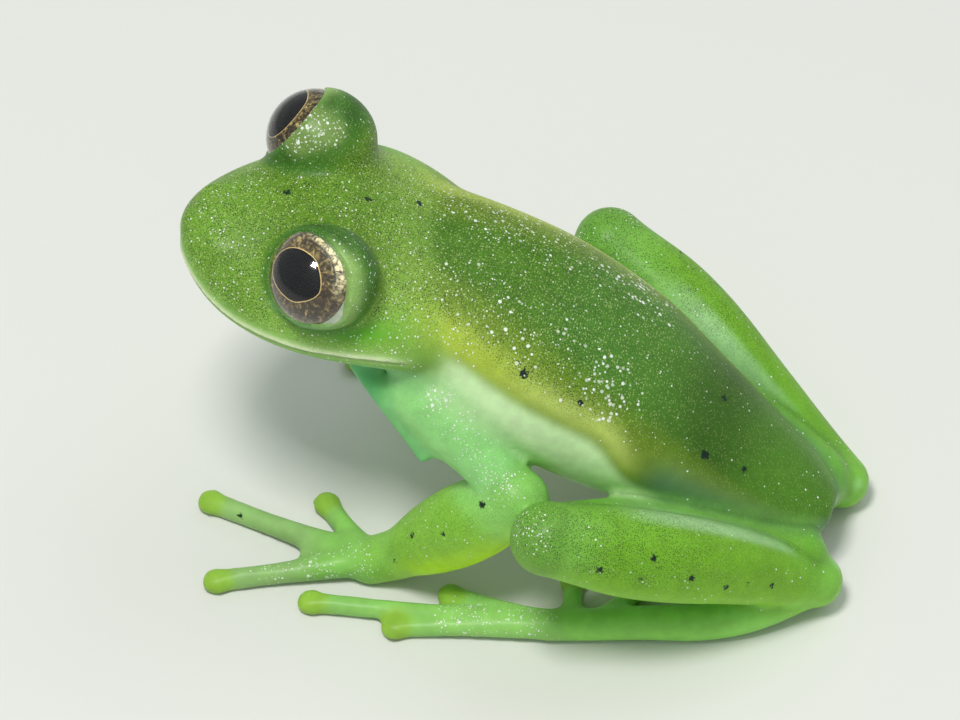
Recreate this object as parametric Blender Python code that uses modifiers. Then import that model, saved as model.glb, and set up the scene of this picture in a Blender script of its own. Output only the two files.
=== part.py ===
"""A glass frog at life size, sitting with its head turned and tilted a little to its left.

The frog faces -X, its left side is -Y and the floor it sits on is z = 0. Places below are written
in millimetres in the frog's own pose frame, and an empty moves them to the middle of the floor area.
"""

import math

import bmesh
import bpy
from mathutils import Matrix, Vector

MM = 0.001

# Driving dimensions, in millimetres
MIDDLE = Vector((-1.25, 0.2, 0.0))
GAP = 0.22
EYE_GAP = 0.15
FLOOR_DEPTH = 3.0
FLOOR_SIZE = 60.0

HEAD_TURN = math.radians(16.6)
HEAD_TILT = math.radians(2.4)
HEAD_PIVOT = Vector((-5.571, 0.132, 13.7))
SNOUT_AHEAD = 7.75
HEAD_LENGTH = 10.6
HEAD_HALF_WIDTH = 4.65
HEAD_ROUND = 8.5
HEAD_ROUND_POWER = 2.4
NAPE = {"left": 7.5, "right": 6.0}
NAPE_NARROWING = {"left": 0.2, "right": 0.12}
CROWN_POWER = 1.8
JAW_POWER = 1.9
LIP_LEVEL = ((0.0, 12.05), (1.0, 11.5), (2.0, 11.2), (4.0, 10.95), (6.0, 10.88), (8.0, 10.6),
             (10.6, 10.1))
CROWN_LEVEL = ((0.0, 12.75), (0.35, 13.1), (1.2, 13.4), (3.0, 13.7), (5.0, 13.9), (6.5, 13.4),
               (8.5, 12.2), (10.6, 10.6))
JAW_LEVEL = ((0.0, 11.6), (1.0, 10.7), (2.0, 10.2), (4.0, 9.45), (6.0, 8.85), (8.5, 8.2),
             (10.6, 8.1))
NECK_CUT = Vector((-4.3, 0.0, 10.6))
NECK_WAY = Vector((-0.87, -0.1, 0.49))

EYE_BEHIND_SNOUT = 4.63
EYE_APART = 5.957
EYE_LEVEL = 13.5
EYE_RADIUS = 1.66
EYE_LOOK = {"left": (0.61, 0.483, 0.626), "right": (0.694, 0.439, 0.566)}
BULGE_RADII = (1.95, 1.77, 1.76)
BULGE_REARWARD = 0.18
BULGE_DROP = 0.03
LID_AHEAD = {"left": 0.6, "right": 0.85}

TRUNK_AXIS = ((-7.0, 11.2), (-4.5, 10.15), (-1.0, 8.1), (1.5, 6.8), (4.25, 5.1), (6.5, 3.7),
              (8.3, 2.75), (9.4, 2.4))
TRUNK_WIDTH = ((-7.0, 3.1), (-4.5, 3.72), (-1.0, 4.15), (1.5, 3.9), (4.25, 3.15), (6.5, 2.45),
               (8.3, 1.6), (9.4, 0.7))
TRUNK_BACK = ((-7.0, 1.7), (-4.5, 2.3), (-1.0, 2.95), (1.5, 2.7), (4.25, 2.1), (6.5, 1.55),
              (8.3, 1.1), (9.4, 0.5))
TRUNK_BELLY = ((-7.0, 1.8), (-4.5, 2.5), (-1.0, 3.0), (1.5, 3.05), (4.25, 2.5), (6.5, 1.7),
               (8.3, 1.1), (9.4, 0.5))
TRUNK_POWER = 2.1

ARMS = {
    "left": {
        "shoulder": (-3.95, -3.25, 8.4),
        "elbow": (-0.5, -4.97, 5.72),
        "wrist": (-4.75, -4.76, 1.15),
        "palm": (-5.7, -4.85, 0.6),
        "fingers": ((-4.7, -2.9), (-7.9, -2.6), (-11.8, -3.55), (-10.65, -6.85)),
    },
    "right": {
        "shoulder": (-4.2, 3.0, 8.5),
        "elbow": (-1.9, 4.85, 5.7),
        "wrist": (-5.2, 5.5, 1.15),
        "palm": (-6.2, 5.4, 0.6),
        "fingers": ((-5.4, 3.5), (-8.6, 3.9), (-11.8, 5.2), (-10.0, 7.4)),
    },
}
LEGS = {
    "left": {
        "hip": (8.5, -1.95, 1.85),
        "thigh": ((5.5, -3.05, 3.15), (3.55, -4.25, 4.1)),
        "knee": (1.05, -6.85, 6.4),
        "shank": ((3.75, -5.75, 5.15), (6.9, -3.87, 3.2)),
        "heel": (9.35, -2.2, 1.2),
        "tarsus": (6.8, -4.1, 0.68),
        "ankle": (3.4, -5.25, 0.6),
        "sole": (0.9, -5.95, 0.5),
        "toes": ((3.6, -3.2), (1.2, -3.7), (-2.7, -5.4), (-7.25, -6.9), (-4.2, -7.2)),
    },
    "right": {
        "hip": (8.4, 1.55, 1.85),
        "thigh": ((5.3, 2.8, 3.15), (3.0, 3.95, 4.1)),
        "knee": (-0.15, 6.35, 6.4),
        "shank": ((2.6, 5.3, 5.05), (6.05, 3.6, 3.1)),
        "heel": (9.2, 2.45, 1.0),
        "tarsus": (6.2, 4.3, 0.68),
        "ankle": (2.9, 5.2, 0.6),
        "sole": (0.4, 5.9, 0.5),
        "toes": ((2.4, 3.4), (-0.3, 3.8), (-2.4, 5.6), (-6.0, 8.0), (-3.4, 8.3)),
    },
}

UPPER_ARM_SHARES = (0.0, 0.4, 0.7, 1.0)
UPPER_ARM_RADII = (1.5, 1.22, 0.93, 0.95)
FOREARM_SHARES = (0.0, 0.35, 0.7, 1.0)
FOREARM_RADII = (1.12, 1.42, 1.27, 0.9)
PALM_RADIUS = 0.85
DIGIT_LEVEL = 0.28
DIGIT_ARCH = 0.12
DIGIT_ROOT_SWELL = 1.35
FINGER_START = 0.4
FINGER_RADIUS = 0.4
TOE_RADIUS = 0.37
DISC_RADIUS = 0.52
DISC_HEIGHT = 0.36
FOLD_EDGE = ((-6.4, -3.1, 9.1), (-5.45, -3.75, 8.3), (-4.5, -4.2, 7.35), (-3.85, -4.6, 6.6))
FOLD_RADII = (0.5, 0.42, 0.38, 0.27)
FOLD_THICKNESS = 0.8
FOLD_ROOTS = (0.45, 0.2, 0.0)
THIGH_RADII = (1.2, 1.45, 1.45, 1.22)
SHANK_RADII = (1.28, 1.55, 1.33, 0.95)
TARSUS_RADII = (0.85, 0.72, 0.6)
SOLE_RADIUS = 0.55
WEB_BASE = 0.05
WEB_TOP = 0.62
HAND_WEB_SHARES = (0.3, 0.42, 0.42, 0.48)
FOOT_WEB_SHARES = (0.35, 0.5, 0.6, 0.75)
TOE_ROOTS = (0.35, 0.7, 0.9, 1.0, 1.0)

SECTION_POINTS = 48
HEAD_RINGS = 34
SNOUT_START = 0.012
RING_CROWDING = 1.8
TRUNK_RINGS = 36
SLOPE_STEP = 0.05
BALL_SEGMENTS = 24
BALL_RINGS = 16
TUBE_BEVEL = 4
TUBE_STEPS = 8
WELD = 0.0001
VOXEL = 0.16
FINE_VOXEL = 0.12
SAME_POINT = 0.002
SOFTENING = 5
SOFTENING_SHARE = 0.5
EYE_ROUGHNESS = 0.1
SKIN_ROUGHNESS = 0.4
FACES = {"body": 2100, "eye": 220, "arm": 1060, "thigh": 240, "lower_leg": 1120}


def linear(red, green, blue):
    """Turns screen colour values, 0 to 255, into the linear ones that a shader takes."""
    def one(value):
        share = value / 255.0
        return share / 12.92 if share <= 0.04045 else ((share + 0.055) / 1.055) ** 2.4
    return (one(red), one(green), one(blue), 1.0)


COLOURS = {
    "head": linear(121, 160, 76),
    "trunk": linear(85, 133, 61),
    "eye": linear(60, 55, 35),
    "upper_arm": linear(150, 200, 120),
    "forearm": linear(128, 179, 58),
    "hand": linear(125, 185, 85),
    "thigh": linear(94, 147, 59),
    "shank": linear(117, 164, 66),
    "tarsus": linear(101, 157, 60),
    "foot": linear(120, 175, 75),
}


def clear_scene():
    for thing in list(bpy.data.objects):
        bpy.data.objects.remove(thing, do_unlink=True)


def new_collection(name):
    group = bpy.data.collections.new(name)
    bpy.context.scene.collection.children.link(group)
    return group


def along(stops, place):
    """Reads a smooth curve through (place, value) stops, with level slopes never overshooting."""
    places = [stop[0] for stop in stops]
    values = [stop[1] for stop in stops]
    place = min(max(place, places[0]), places[-1])
    rises = [(values[i + 1] - values[i]) / (places[i + 1] - places[i]) for i in range(len(stops) - 1)]
    slopes = [rises[0]]
    for before, after in zip(rises, rises[1:]):
        same_way = before * after > 0.0
        slopes.append(2.0 * before * after / (before + after) if same_way else 0.0)
    slopes.append(rises[-1])
    i = 0
    while place > places[i + 1]:
        i += 1
    width = places[i + 1] - places[i]
    t = (place - places[i]) / width
    start = (1.0 + 2.0 * t) * (1.0 - t) ** 2 * values[i] + t * (1.0 - t) ** 2 * width * slopes[i]
    end = t * t * (3.0 - 2.0 * t) * values[i + 1] + t * t * (t - 1.0) * width * slopes[i + 1]
    return start + end


def between(first, last, share):
    return Vector(first).lerp(Vector(last), share)


def head_turned(ahead, left, up):
    """A direction or offset in the head's own frame, turned into the pose frame."""
    turn = Matrix.Rotation(HEAD_TURN, 3, "Z") @ Matrix.Rotation(HEAD_TILT, 3, "X")
    return turn @ Vector((-ahead, -left, up))


def head_place(behind_snout, left, up):
    return HEAD_PIVOT + head_turned(SNOUT_AHEAD - behind_snout, left, up - EYE_LEVEL)


def side_sign(side):
    return 1.0 if side == "left" else -1.0


def eye_centre(side):
    return head_place(EYE_BEHIND_SNOUT, side_sign(side) * EYE_APART / 2.0, EYE_LEVEL)


def eye_axis(side):
    ahead, outward, up = EYE_LOOK[side]
    return head_turned(ahead, side_sign(side) * outward, up).normalized()


def object_from(name, data):
    """Puts mesh or curve data in the scene, among the working shapes."""
    thing = bpy.data.objects.new(name, data)
    workshop.objects.link(thing)
    return thing


def mesh_object(name, mesh):
    """Makes an object from a bmesh and frees the bmesh."""
    data = bpy.data.meshes.new(name)
    bmesh.ops.recalc_face_normals(mesh, faces=mesh.faces)
    mesh.to_mesh(data)
    mesh.free()
    return object_from(name, data)


def loft(name, rings):
    """A closed body through rings that have the same number of points."""
    mesh = bmesh.new()
    loops = [[mesh.verts.new(point) for point in ring] for ring in rings]
    count = len(loops[0])
    for near, far in zip(loops, loops[1:]):
        for i in range(count):
            j = (i + 1) % count
            mesh.faces.new((near[i], near[j], far[j], far[i]))
    mesh.faces.new(loops[0])
    mesh.faces.new(loops[-1])
    return mesh_object(name, mesh)


def section(half_width, up, down, up_power, down_power):
    """Points (side, height) round a section whose upper and lower halves differ."""
    points = []
    for i in range(SECTION_POINTS):
        turn = 2.0 * math.pi * i / SECTION_POINTS
        c = math.cos(turn)
        s = math.sin(turn)
        power = 2.0 / (up_power if s >= 0.0 else down_power)
        side = math.copysign(abs(c) ** power, c) * half_width
        height = abs(s) ** power * (up if s >= 0.0 else -down)
        points.append((side, height))
    return points


def ball(name, centre, radii):
    """An egg whose three radii lie along X, Y and Z."""
    mesh = bmesh.new()
    bmesh.ops.create_uvsphere(mesh, u_segments=BALL_SEGMENTS, v_segments=BALL_RINGS, radius=1.0)
    bmesh.ops.scale(mesh, vec=radii, verts=mesh.verts)
    bmesh.ops.translate(mesh, vec=centre, verts=mesh.verts)
    return mesh_object(name, mesh)


def tube(name, places, radii):
    """A round tube through places, each with its radius, and a ball in each end."""
    curve = bpy.data.curves.new(name, "CURVE")
    curve.dimensions = "3D"
    curve.bevel_depth = 1.0
    curve.bevel_resolution = TUBE_BEVEL
    curve.resolution_u = TUBE_STEPS
    curve.use_fill_caps = True
    spline = curve.splines.new("BEZIER")
    spline.radius_interpolation = "CARDINAL"
    spline.bezier_points.add(len(places) - 1)
    for spot, place, radius in zip(spline.bezier_points, places, radii):
        spot.co = place
        spot.radius = radius
        spot.handle_left_type = "AUTO"
        spot.handle_right_type = "AUTO"
    line = object_from(name + "_line", curve)
    bpy.context.view_layer.update()
    depsgraph = bpy.context.evaluated_depsgraph_get()
    data = bpy.data.meshes.new_from_object(line.evaluated_get(depsgraph))
    bpy.data.objects.remove(line)
    mesh = bmesh.new()
    mesh.from_mesh(data)
    bmesh.ops.remove_doubles(mesh, verts=mesh.verts, dist=WELD)
    pieces = [mesh_object(name, mesh)]
    for i in (0, -1):
        pieces.append(ball(name + "_end", places[i], (radii[i],) * 3))
    return pieces


def plate(name, corners, rise):
    """A flat skin sheet over the corner points, made solid by lifting a copy of it."""
    mesh = bmesh.new()
    face = mesh.faces.new([mesh.verts.new(corner) for corner in corners])
    lifted = bmesh.ops.extrude_face_region(mesh, geom=[face])
    tops = [item for item in lifted["geom"] if isinstance(item, bmesh.types.BMVert)]
    bmesh.ops.translate(mesh, vec=rise, verts=tops)
    bmesh.ops.triangulate(mesh, faces=mesh.faces)
    return mesh_object(name, mesh)


def settle(thing):
    """Turns what the modifiers show into the object's own mesh."""
    bpy.context.view_layer.update()
    depsgraph = bpy.context.evaluated_depsgraph_get()
    data = bpy.data.meshes.new_from_object(thing.evaluated_get(depsgraph))
    thing.modifiers.clear()
    thing.data = data


def lighten(thing, faces):
    """Brings the body down to about this many triangles."""
    thing.data.calc_loop_triangles()
    fewer = thing.modifiers.new("fewer_faces", "DECIMATE")
    fewer.ratio = min(1.0, faces / len(thing.data.loop_triangles))
    fewer.use_collapse_triangulate = True
    settle(thing)


def fuse(name, pieces, voxel, faces):
    """Joins overlapping closed pieces into one body of so many triangles, whose joins are soft."""
    mesh = bmesh.new()
    for piece in pieces:
        mesh.from_mesh(piece.data)
        bpy.data.objects.remove(piece)
    whole = mesh_object(name, mesh)
    remesh = whole.modifiers.new("one_body", "REMESH")
    remesh.mode = "VOXEL"
    remesh.voxel_size = voxel
    smooth = whole.modifiers.new("soft_joins", "SMOOTH")
    smooth.factor = SOFTENING_SHARE
    smooth.iterations = SOFTENING
    settle(whole)
    lighten(whole, faces)
    return whole


def beyond(name, whole, place, way, gap=GAP):
    """The part of a body past a flat cut at place, on the side that way points to."""
    way = Vector(way).normalized()
    mesh = bmesh.new()
    mesh.from_mesh(whole.data)
    everything = mesh.verts[:] + mesh.edges[:] + mesh.faces[:]
    bmesh.ops.bisect_plane(mesh, geom=everything, plane_co=Vector(place) + way * gap / 2.0,
                           plane_no=way, clear_inner=True)
    rim = [edge for edge in mesh.edges if edge.is_boundary]
    bmesh.ops.holes_fill(mesh, edges=rim, sides=0)
    bmesh.ops.triangulate(mesh, faces=mesh.faces)
    return mesh_object(name, mesh)


def parted(whole, first, second, place, way):
    """Cuts a body in two at a plane: first is the piece that way points to."""
    near = beyond(first, whole, place, way)
    far = beyond(second, whole, place, -Vector(way))
    bpy.data.objects.remove(whole)
    return near, far


def swollen(thing, gap):
    """A copy of the object, larger by the gap on every side."""
    copy = object_from(thing.name + "_room", thing.data.copy())
    swell = copy.modifiers.new("swell", "DISPLACE")
    swell.strength = gap
    swell.mid_level = 0.0
    settle(copy)
    copy.hide_render = True
    copy.display_type = "WIRE"
    return copy


def cut(thing, cutter):
    """Takes the cutter's space out of the object."""
    trim = thing.modifiers.new("room_for_" + cutter.name, "BOOLEAN")
    trim.operation = "DIFFERENCE"
    trim.solver = "EXACT"
    trim.use_self = True
    trim.object = cutter
    settle(thing)


def make_room(thing, neighbours, gap=GAP):
    for neighbour in neighbours:
        cutter = swollen(neighbour, gap)
        cut(thing, cutter)
        bpy.data.objects.remove(cutter)


def connected_groups(mesh):
    """The mesh's points, in one set for each piece that hangs together, smallest first."""
    unseen = set(mesh.verts)
    groups = []
    while unseen:
        group = set()
        edge = [unseen.pop()]
        while edge:
            vert = edge.pop()
            group.add(vert)
            for link in vert.link_edges:
                other = link.other_vert(vert)
                if other in unseen:
                    unseen.discard(other)
                    edge.append(other)
        groups.append(group)
    return sorted(groups, key=len)


def tidy(thing):
    """Drops slivers that a cut has parted from the main body, and joins points that coincide."""
    mesh = bmesh.new()
    mesh.from_mesh(thing.data)
    bmesh.ops.remove_doubles(mesh, verts=mesh.verts, dist=SAME_POINT)
    for group in connected_groups(mesh)[:-1]:
        bmesh.ops.delete(mesh, geom=list(group), context="VERTS")
    bmesh.ops.triangulate(mesh, faces=mesh.faces)
    mesh.to_mesh(thing.data)
    mesh.free()


def floor_block():
    """The space under the floor, which gives all that reaches it a flat base."""
    mesh = bmesh.new()
    bmesh.ops.create_cube(mesh, size=1.0)
    bmesh.ops.scale(mesh, vec=(FLOOR_SIZE, FLOOR_SIZE, FLOOR_DEPTH), verts=mesh.verts)
    bmesh.ops.translate(mesh, vec=(0.0, 0.0, -FLOOR_DEPTH / 2.0), verts=mesh.verts)
    return mesh_object("under_floor", mesh)


def head_half_width(behind, side):
    """The head's width on one side: a round snout outline that narrows again at the nape."""
    share = min(behind / HEAD_ROUND, 1.0)
    past = max(behind - NAPE[side], 0.0)
    round_part = math.sqrt(1.0 - (1.0 - share) ** HEAD_ROUND_POWER)
    return HEAD_HALF_WIDTH * round_part - NAPE_NARROWING[side] * past ** 2


def bulge_centre(side):
    """The middle of the swelling round an eye, a little behind and below the eye's own middle."""
    return eye_centre(side) + head_turned(-BULGE_REARWARD, 0.0, -BULGE_DROP)


def head_pieces():
    """The head with its jaw, back into the trunk, and the two eye bulges, flat at the lid rim."""
    rings = []
    for i in range(HEAD_RINGS + 1):
        behind = HEAD_LENGTH * (SNOUT_START + (1.0 - SNOUT_START) * (i / HEAD_RINGS) ** RING_CROWDING)
        lip = along(LIP_LEVEL, behind)
        up = along(CROWN_LEVEL, behind) - lip
        down = lip - along(JAW_LEVEL, behind)
        ring = []
        for across, height in section(1.0, up, down, CROWN_POWER, JAW_POWER):
            half_width = head_half_width(behind, "left" if across > 0.0 else "right")
            ring.append(head_place(behind, across * half_width, lip + height))
        rings.append(ring)
    pieces = [loft("skull", rings)]
    for side in ("left", "right"):
        axis = eye_axis(side)
        whole = ball("bulge_whole", bulge_centre(side), BULGE_RADII)
        pieces.append(beyond("bulge", whole, eye_centre(side) + axis * LID_AHEAD[side], -axis, 0.0))
        bpy.data.objects.remove(whole)
    return pieces


def trunk_pieces():
    """The body from inside the head to the vent, in sections square to its sloping axis."""
    first = TRUNK_AXIS[0][0]
    last = TRUNK_AXIS[-1][0]
    rings = []
    for i in range(TRUNK_RINGS + 1):
        x = first + (last - first) * i / TRUNK_RINGS
        rise = along(TRUNK_AXIS, x + SLOPE_STEP) - along(TRUNK_AXIS, x - SLOPE_STEP)
        upright = Vector((-rise, 0.0, 2.0 * SLOPE_STEP)).normalized()
        middle = Vector((x, 0.0, along(TRUNK_AXIS, x)))
        points = section(along(TRUNK_WIDTH, x), along(TRUNK_BACK, x), along(TRUNK_BELLY, x),
                         TRUNK_POWER, TRUNK_POWER)
        rings.append([middle + Vector((0.0, side, 0.0)) + upright * height for side, height in points])
    return [loft("barrel", rings)]


def eye_pieces(side):
    """The eyeball."""
    return [ball("eyeball", eye_centre(side), (EYE_RADIUS,) * 3)]


def mirrored(place, side):
    """A left-side place, or its mirror image for the right side."""
    return Vector((place[0], place[1] * side_sign(side), place[2]))


def fold_pieces(side):
    """The skin fold in front of the upper arm, which ends in the spine's hooked point."""
    arm = ARMS[side]
    edge = [mirrored(place, side) for place in FOLD_EDGE]
    inner = [between(arm["shoulder"], arm["elbow"], share) for share in FOLD_ROOTS]
    rise = Vector((0.0, FOLD_THICKNESS, 0.0))
    corners = [place - rise / 2.0 for place in edge + inner]
    return tube("fold_edge", edge, FOLD_RADII) + [plate("fold", corners, rise)]


def digit(name, start, tip, radius):
    """A slender digit, a little arched, that ends in a round flat disc."""
    start = Vector(start)
    end = Vector((*tip, DIGIT_LEVEL))
    middle = start.lerp(end, 0.5)
    middle.z = DIGIT_LEVEL + DIGIT_ARCH
    pieces = tube(name, (start, middle, end), (radius * DIGIT_ROOT_SWELL, radius, radius))
    pieces.append(ball(name + "_disc", end, (DISC_RADIUS, DISC_RADIUS, DISC_HEIGHT)))
    return pieces


def web(name, middle, tips, shares):
    """The web between digits, which reaches along each of them by its share."""
    corners = [Vector((middle.x, middle.y, WEB_BASE))]
    corners += [between(corners[0], (*tip, WEB_BASE), share) for tip, share in zip(tips, shares)]
    return plate(name, corners, Vector((0.0, 0.0, WEB_TOP - WEB_BASE)))


def arm_pieces(side):
    """The arm from inside the shoulder down to the four fingertips."""
    arm = ARMS[side]
    shoulder = Vector(arm["shoulder"])
    elbow = Vector(arm["elbow"])
    wrist = Vector(arm["wrist"])
    palm = Vector(arm["palm"])
    upper = [shoulder.lerp(elbow, share) for share in UPPER_ARM_SHARES]
    lower = [elbow.lerp(wrist, share) for share in FOREARM_SHARES]
    pieces = tube("upper_arm", upper, UPPER_ARM_RADII)
    pieces += fold_pieces(side)
    pieces += tube("forearm", lower, FOREARM_RADII)
    pieces += tube("palm", (wrist, palm), (FOREARM_RADII[-1], PALM_RADIUS))
    for number, tip in enumerate(arm["fingers"], 1):
        toward = (Vector((*tip, palm.z)) - palm).normalized()
        pieces += digit(f"finger_{number}", palm + toward * FINGER_START, tip, FINGER_RADIUS)
    pieces.append(web("palm_web", palm, arm["fingers"], HAND_WEB_SHARES))
    return pieces


def thigh_pieces(side):
    leg = LEGS[side]
    return tube("thigh", (leg["hip"], *leg["thigh"], leg["knee"]), THIGH_RADII)


def lower_leg_pieces(side):
    """The shank, folded back over the tarsus, and the foot down to the five toe tips."""
    leg = LEGS[side]
    heel = Vector(leg["heel"])
    ankle = Vector(leg["ankle"])
    sole = Vector(leg["sole"])
    pieces = tube("shank", (leg["knee"], *leg["shank"], heel), SHANK_RADII)
    pieces += tube("tarsus", (heel, leg["tarsus"], ankle), TARSUS_RADII)
    pieces += tube("sole", (ankle, sole), (TARSUS_RADII[-1], SOLE_RADIUS))
    for number, (tip, share) in enumerate(zip(leg["toes"], TOE_ROOTS), 1):
        pieces += digit(f"toe_{number}", ankle.lerp(sole, share), tip, TOE_RADIUS)
    pieces.append(web("toe_web", sole, leg["toes"][1:], FOOT_WEB_SHARES))
    return pieces


def build_arm(side, solids):
    """Parts the arm at the elbow and the wrist, and cuts its top to clear the body."""
    arm = ARMS[side]
    shoulder = Vector(arm["shoulder"])
    elbow = Vector(arm["elbow"])
    wrist = Vector(arm["wrist"])
    palm = Vector(arm["palm"])
    whole = fuse("arm", arm_pieces(side), FINE_VOXEL, FACES["arm"])
    at_elbow = (elbow - shoulder).normalized() + (wrist - elbow).normalized()
    at_wrist = (wrist - elbow).normalized() + (palm - wrist).normalized()
    lower, upper = parted(whole, "lower_arm", f"upper_arm_{side}", elbow, at_elbow)
    hand, forearm = parted(lower, f"hand_{side}", f"forearm_{side}", wrist, at_wrist)
    make_room(upper, (solids["trunk"], solids["head"]))
    return [upper, forearm, hand]


def build_leg(side, solids):
    """Parts the leg at the knee's fold, the heel and the ankle, and clears the body."""
    leg = LEGS[side]
    knee = Vector(leg["knee"])
    heel = Vector(leg["heel"])
    ankle = Vector(leg["ankle"])
    whole = fuse("lower_leg", lower_leg_pieces(side), FINE_VOXEL, FACES["lower_leg"])
    at_heel = (knee - heel).normalized() - (ankle - heel).normalized()
    shank, below = parted(whole, "shank_whole", "below_heel", heel, at_heel)
    at_ankle = Vector(leg["sole"]) - heel
    foot, tarsus = parted(below, f"foot_{side}", f"tarsus_{side}", ankle, at_ankle)
    halfway = between(leg["thigh"][0], leg["shank"][0], 0.5)
    apart = Vector(leg["shank"][0]) - Vector(leg["thigh"][1])
    fold = halfway - knee
    outward = apart - fold * apart.dot(fold) / fold.length_squared
    thigh_whole = fuse("thigh_whole", thigh_pieces(side), VOXEL, FACES["thigh"])
    thigh = beyond(f"thigh_{side}", thigh_whole, knee, -outward)
    outer = beyond(f"shank_{side}", shank, knee, outward)
    bpy.data.objects.remove(thigh_whole)
    bpy.data.objects.remove(shank)
    make_room(outer, (solids["trunk"],))
    make_room(tarsus, (solids["trunk"],))
    make_room(thigh, (solids["trunk"], tarsus, foot))
    return [thigh, outer, tarsus, foot]


def plain_kind(name):
    return name.replace("_left", "").replace("_right", "")


def finish(thing):
    """Gives the object its material, its smooth shading and its place under the frog's empty."""
    kind = plain_kind(thing.name)
    thing.data.transform(Matrix.Scale(MM, 4))
    thing.data.shade_smooth()
    material = bpy.data.materials.new(thing.name)
    material.use_nodes = True
    shader = material.node_tree.nodes["Principled BSDF"]
    shader.inputs["Base Color"].default_value = COLOURS[kind]
    shader.inputs["Roughness"].default_value = EYE_ROUGHNESS if kind == "eye" else SKIN_ROUGHNESS
    shader.inputs["Metallic"].default_value = 0.0
    thing.data.materials.clear()
    thing.data.materials.append(material)
    workshop.objects.unlink(thing)
    frog.objects.link(thing)
    thing.parent = root


def build():
    body = fuse("body", head_pieces() + trunk_pieces(), VOXEL, FACES["body"])
    head, trunk = parted(body, "head", "trunk", NECK_CUT, NECK_WAY)
    solids = {"head": head, "trunk": trunk}
    for side in ("left", "right"):
        solids[f"eye_{side}"] = fuse(f"eye_{side}", eye_pieces(side), FINE_VOXEL, FACES["eye"])
    make_room(head, (solids["eye_left"], solids["eye_right"]), EYE_GAP)
    for side in ("left", "right"):
        for thing in build_arm(side, solids) + build_leg(side, solids):
            solids[thing.name] = thing
    under = floor_block()
    for thing in solids.values():
        cut(thing, under)
        tidy(thing)
        finish(thing)
    bpy.data.objects.remove(under)


clear_scene()
frog = new_collection("glass_frog")
workshop = new_collection("cutters")
root = bpy.data.objects.new("frog_place", None)
root.location = -MIDDLE * MM
frog.objects.link(root)
build()
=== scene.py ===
"""The looks of a still, life-size glass frog: one skin over the flesh, two detailed eyes, floor and light.

Shapes are worked out in millimetres in the frog's own pose frame, as in the solids: it faces -X, its
left side is -Y and the floor is z = 0. Each finished mesh is then moved to the frame's middle, in metres.
"""

import math

import bmesh
import bpy
import numpy as np
from mathutils import Matrix, Vector


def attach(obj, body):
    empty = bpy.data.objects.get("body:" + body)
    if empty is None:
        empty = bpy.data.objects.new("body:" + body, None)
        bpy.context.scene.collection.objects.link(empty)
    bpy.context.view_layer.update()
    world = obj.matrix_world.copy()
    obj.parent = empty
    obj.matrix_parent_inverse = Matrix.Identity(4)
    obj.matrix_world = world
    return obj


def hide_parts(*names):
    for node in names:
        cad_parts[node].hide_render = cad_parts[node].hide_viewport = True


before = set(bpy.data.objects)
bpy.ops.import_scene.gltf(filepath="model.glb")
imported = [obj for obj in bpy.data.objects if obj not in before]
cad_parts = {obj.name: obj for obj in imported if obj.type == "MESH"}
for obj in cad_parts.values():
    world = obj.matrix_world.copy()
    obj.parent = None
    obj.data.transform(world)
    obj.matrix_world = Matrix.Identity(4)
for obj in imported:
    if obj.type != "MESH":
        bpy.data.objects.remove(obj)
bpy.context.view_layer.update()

MM = 0.001
SIDES = ("left", "right")
MIDDLE = Vector((-1.25, 0.2, 0.0))

# The photograph's view
PHOTO_WIDTH = 960.0
PIXELS_PER_MM = 29.5
VIEW_AZIMUTH = math.radians(15.0)
VIEW_ELEVATION = math.radians(50.0)
VIEW_DISTANCE = 250.0
LOOK = (-3.01, 4.817, 6.0)
SENSOR = 36.0
CLIP_NEAR = 0.005
CLIP_FAR = 10.0

# Floor and lights, in metres and watts; a light's way is its share to the camera's right, up and back
FLOOR_HALF = 0.8
FLOOR_COLOUR = (0.74, 0.74, 0.71, 1.0)
FLOOR_ROUGHNESS = 0.75
WORLD_COLOUR = (0.95, 1.0, 1.0, 1.0)
WORLD_STRENGTH = 0.42
LIGHT_TARGET = Vector((0.0, 0.0, 0.006))
KEY_WAY = (-0.157, 0.428, 0.889)
KEY_DISTANCE = 0.22
KEY_SIZE = 0.05
KEY_POWER = 0.33
KEY_COLOUR = (1.0, 0.99, 0.96)
FILL_WAY = (0.45, 0.8, 0.4)
FILL_DISTANCE = 0.3
FILL_SIZE = 0.2
FILL_POWER = 0.12
FILL_COLOUR = (0.95, 1.0, 1.0)

# Sizes of the flesh, in millimetres
HEAD_TURN = math.radians(16.6)
HEAD_TILT = math.radians(2.4)
HEAD_PIVOT = Vector((-5.571, 0.132, 13.7))
SNOUT_AHEAD = 7.75
HEAD_LENGTH = 10.6
HEAD_HALF_WIDTH = 4.65
HEAD_ROUND = 8.5
HEAD_ROUND_POWER = 2.4
NAPE = {"left": 7.5, "right": 6.0}
NAPE_NARROWING = {"left": 0.2, "right": 0.12}
CROWN_POWER = 1.8
JAW_POWER = 1.9
LIP_LEVEL = ((0.0, 12.05), (1.0, 11.5), (2.0, 11.2), (4.0, 10.95), (6.0, 10.88), (8.0, 10.6),
             (10.6, 10.1))
CROWN_LEVEL = ((0.0, 12.75), (0.35, 13.1), (1.2, 13.4), (3.0, 13.7), (5.0, 13.9), (6.5, 13.4),
               (8.5, 12.2), (10.6, 10.6))
JAW_LEVEL = ((0.0, 11.6), (1.0, 10.7), (2.0, 10.2), (4.0, 9.45), (6.0, 8.85), (8.5, 8.2),
             (10.6, 8.1))
NOSTRIL = (0.95, 1.15, 13.1)
NOSTRIL_BALL = (1.3, 1.05, 12.7)
NOSTRIL_RADIUS = 0.62

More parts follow.
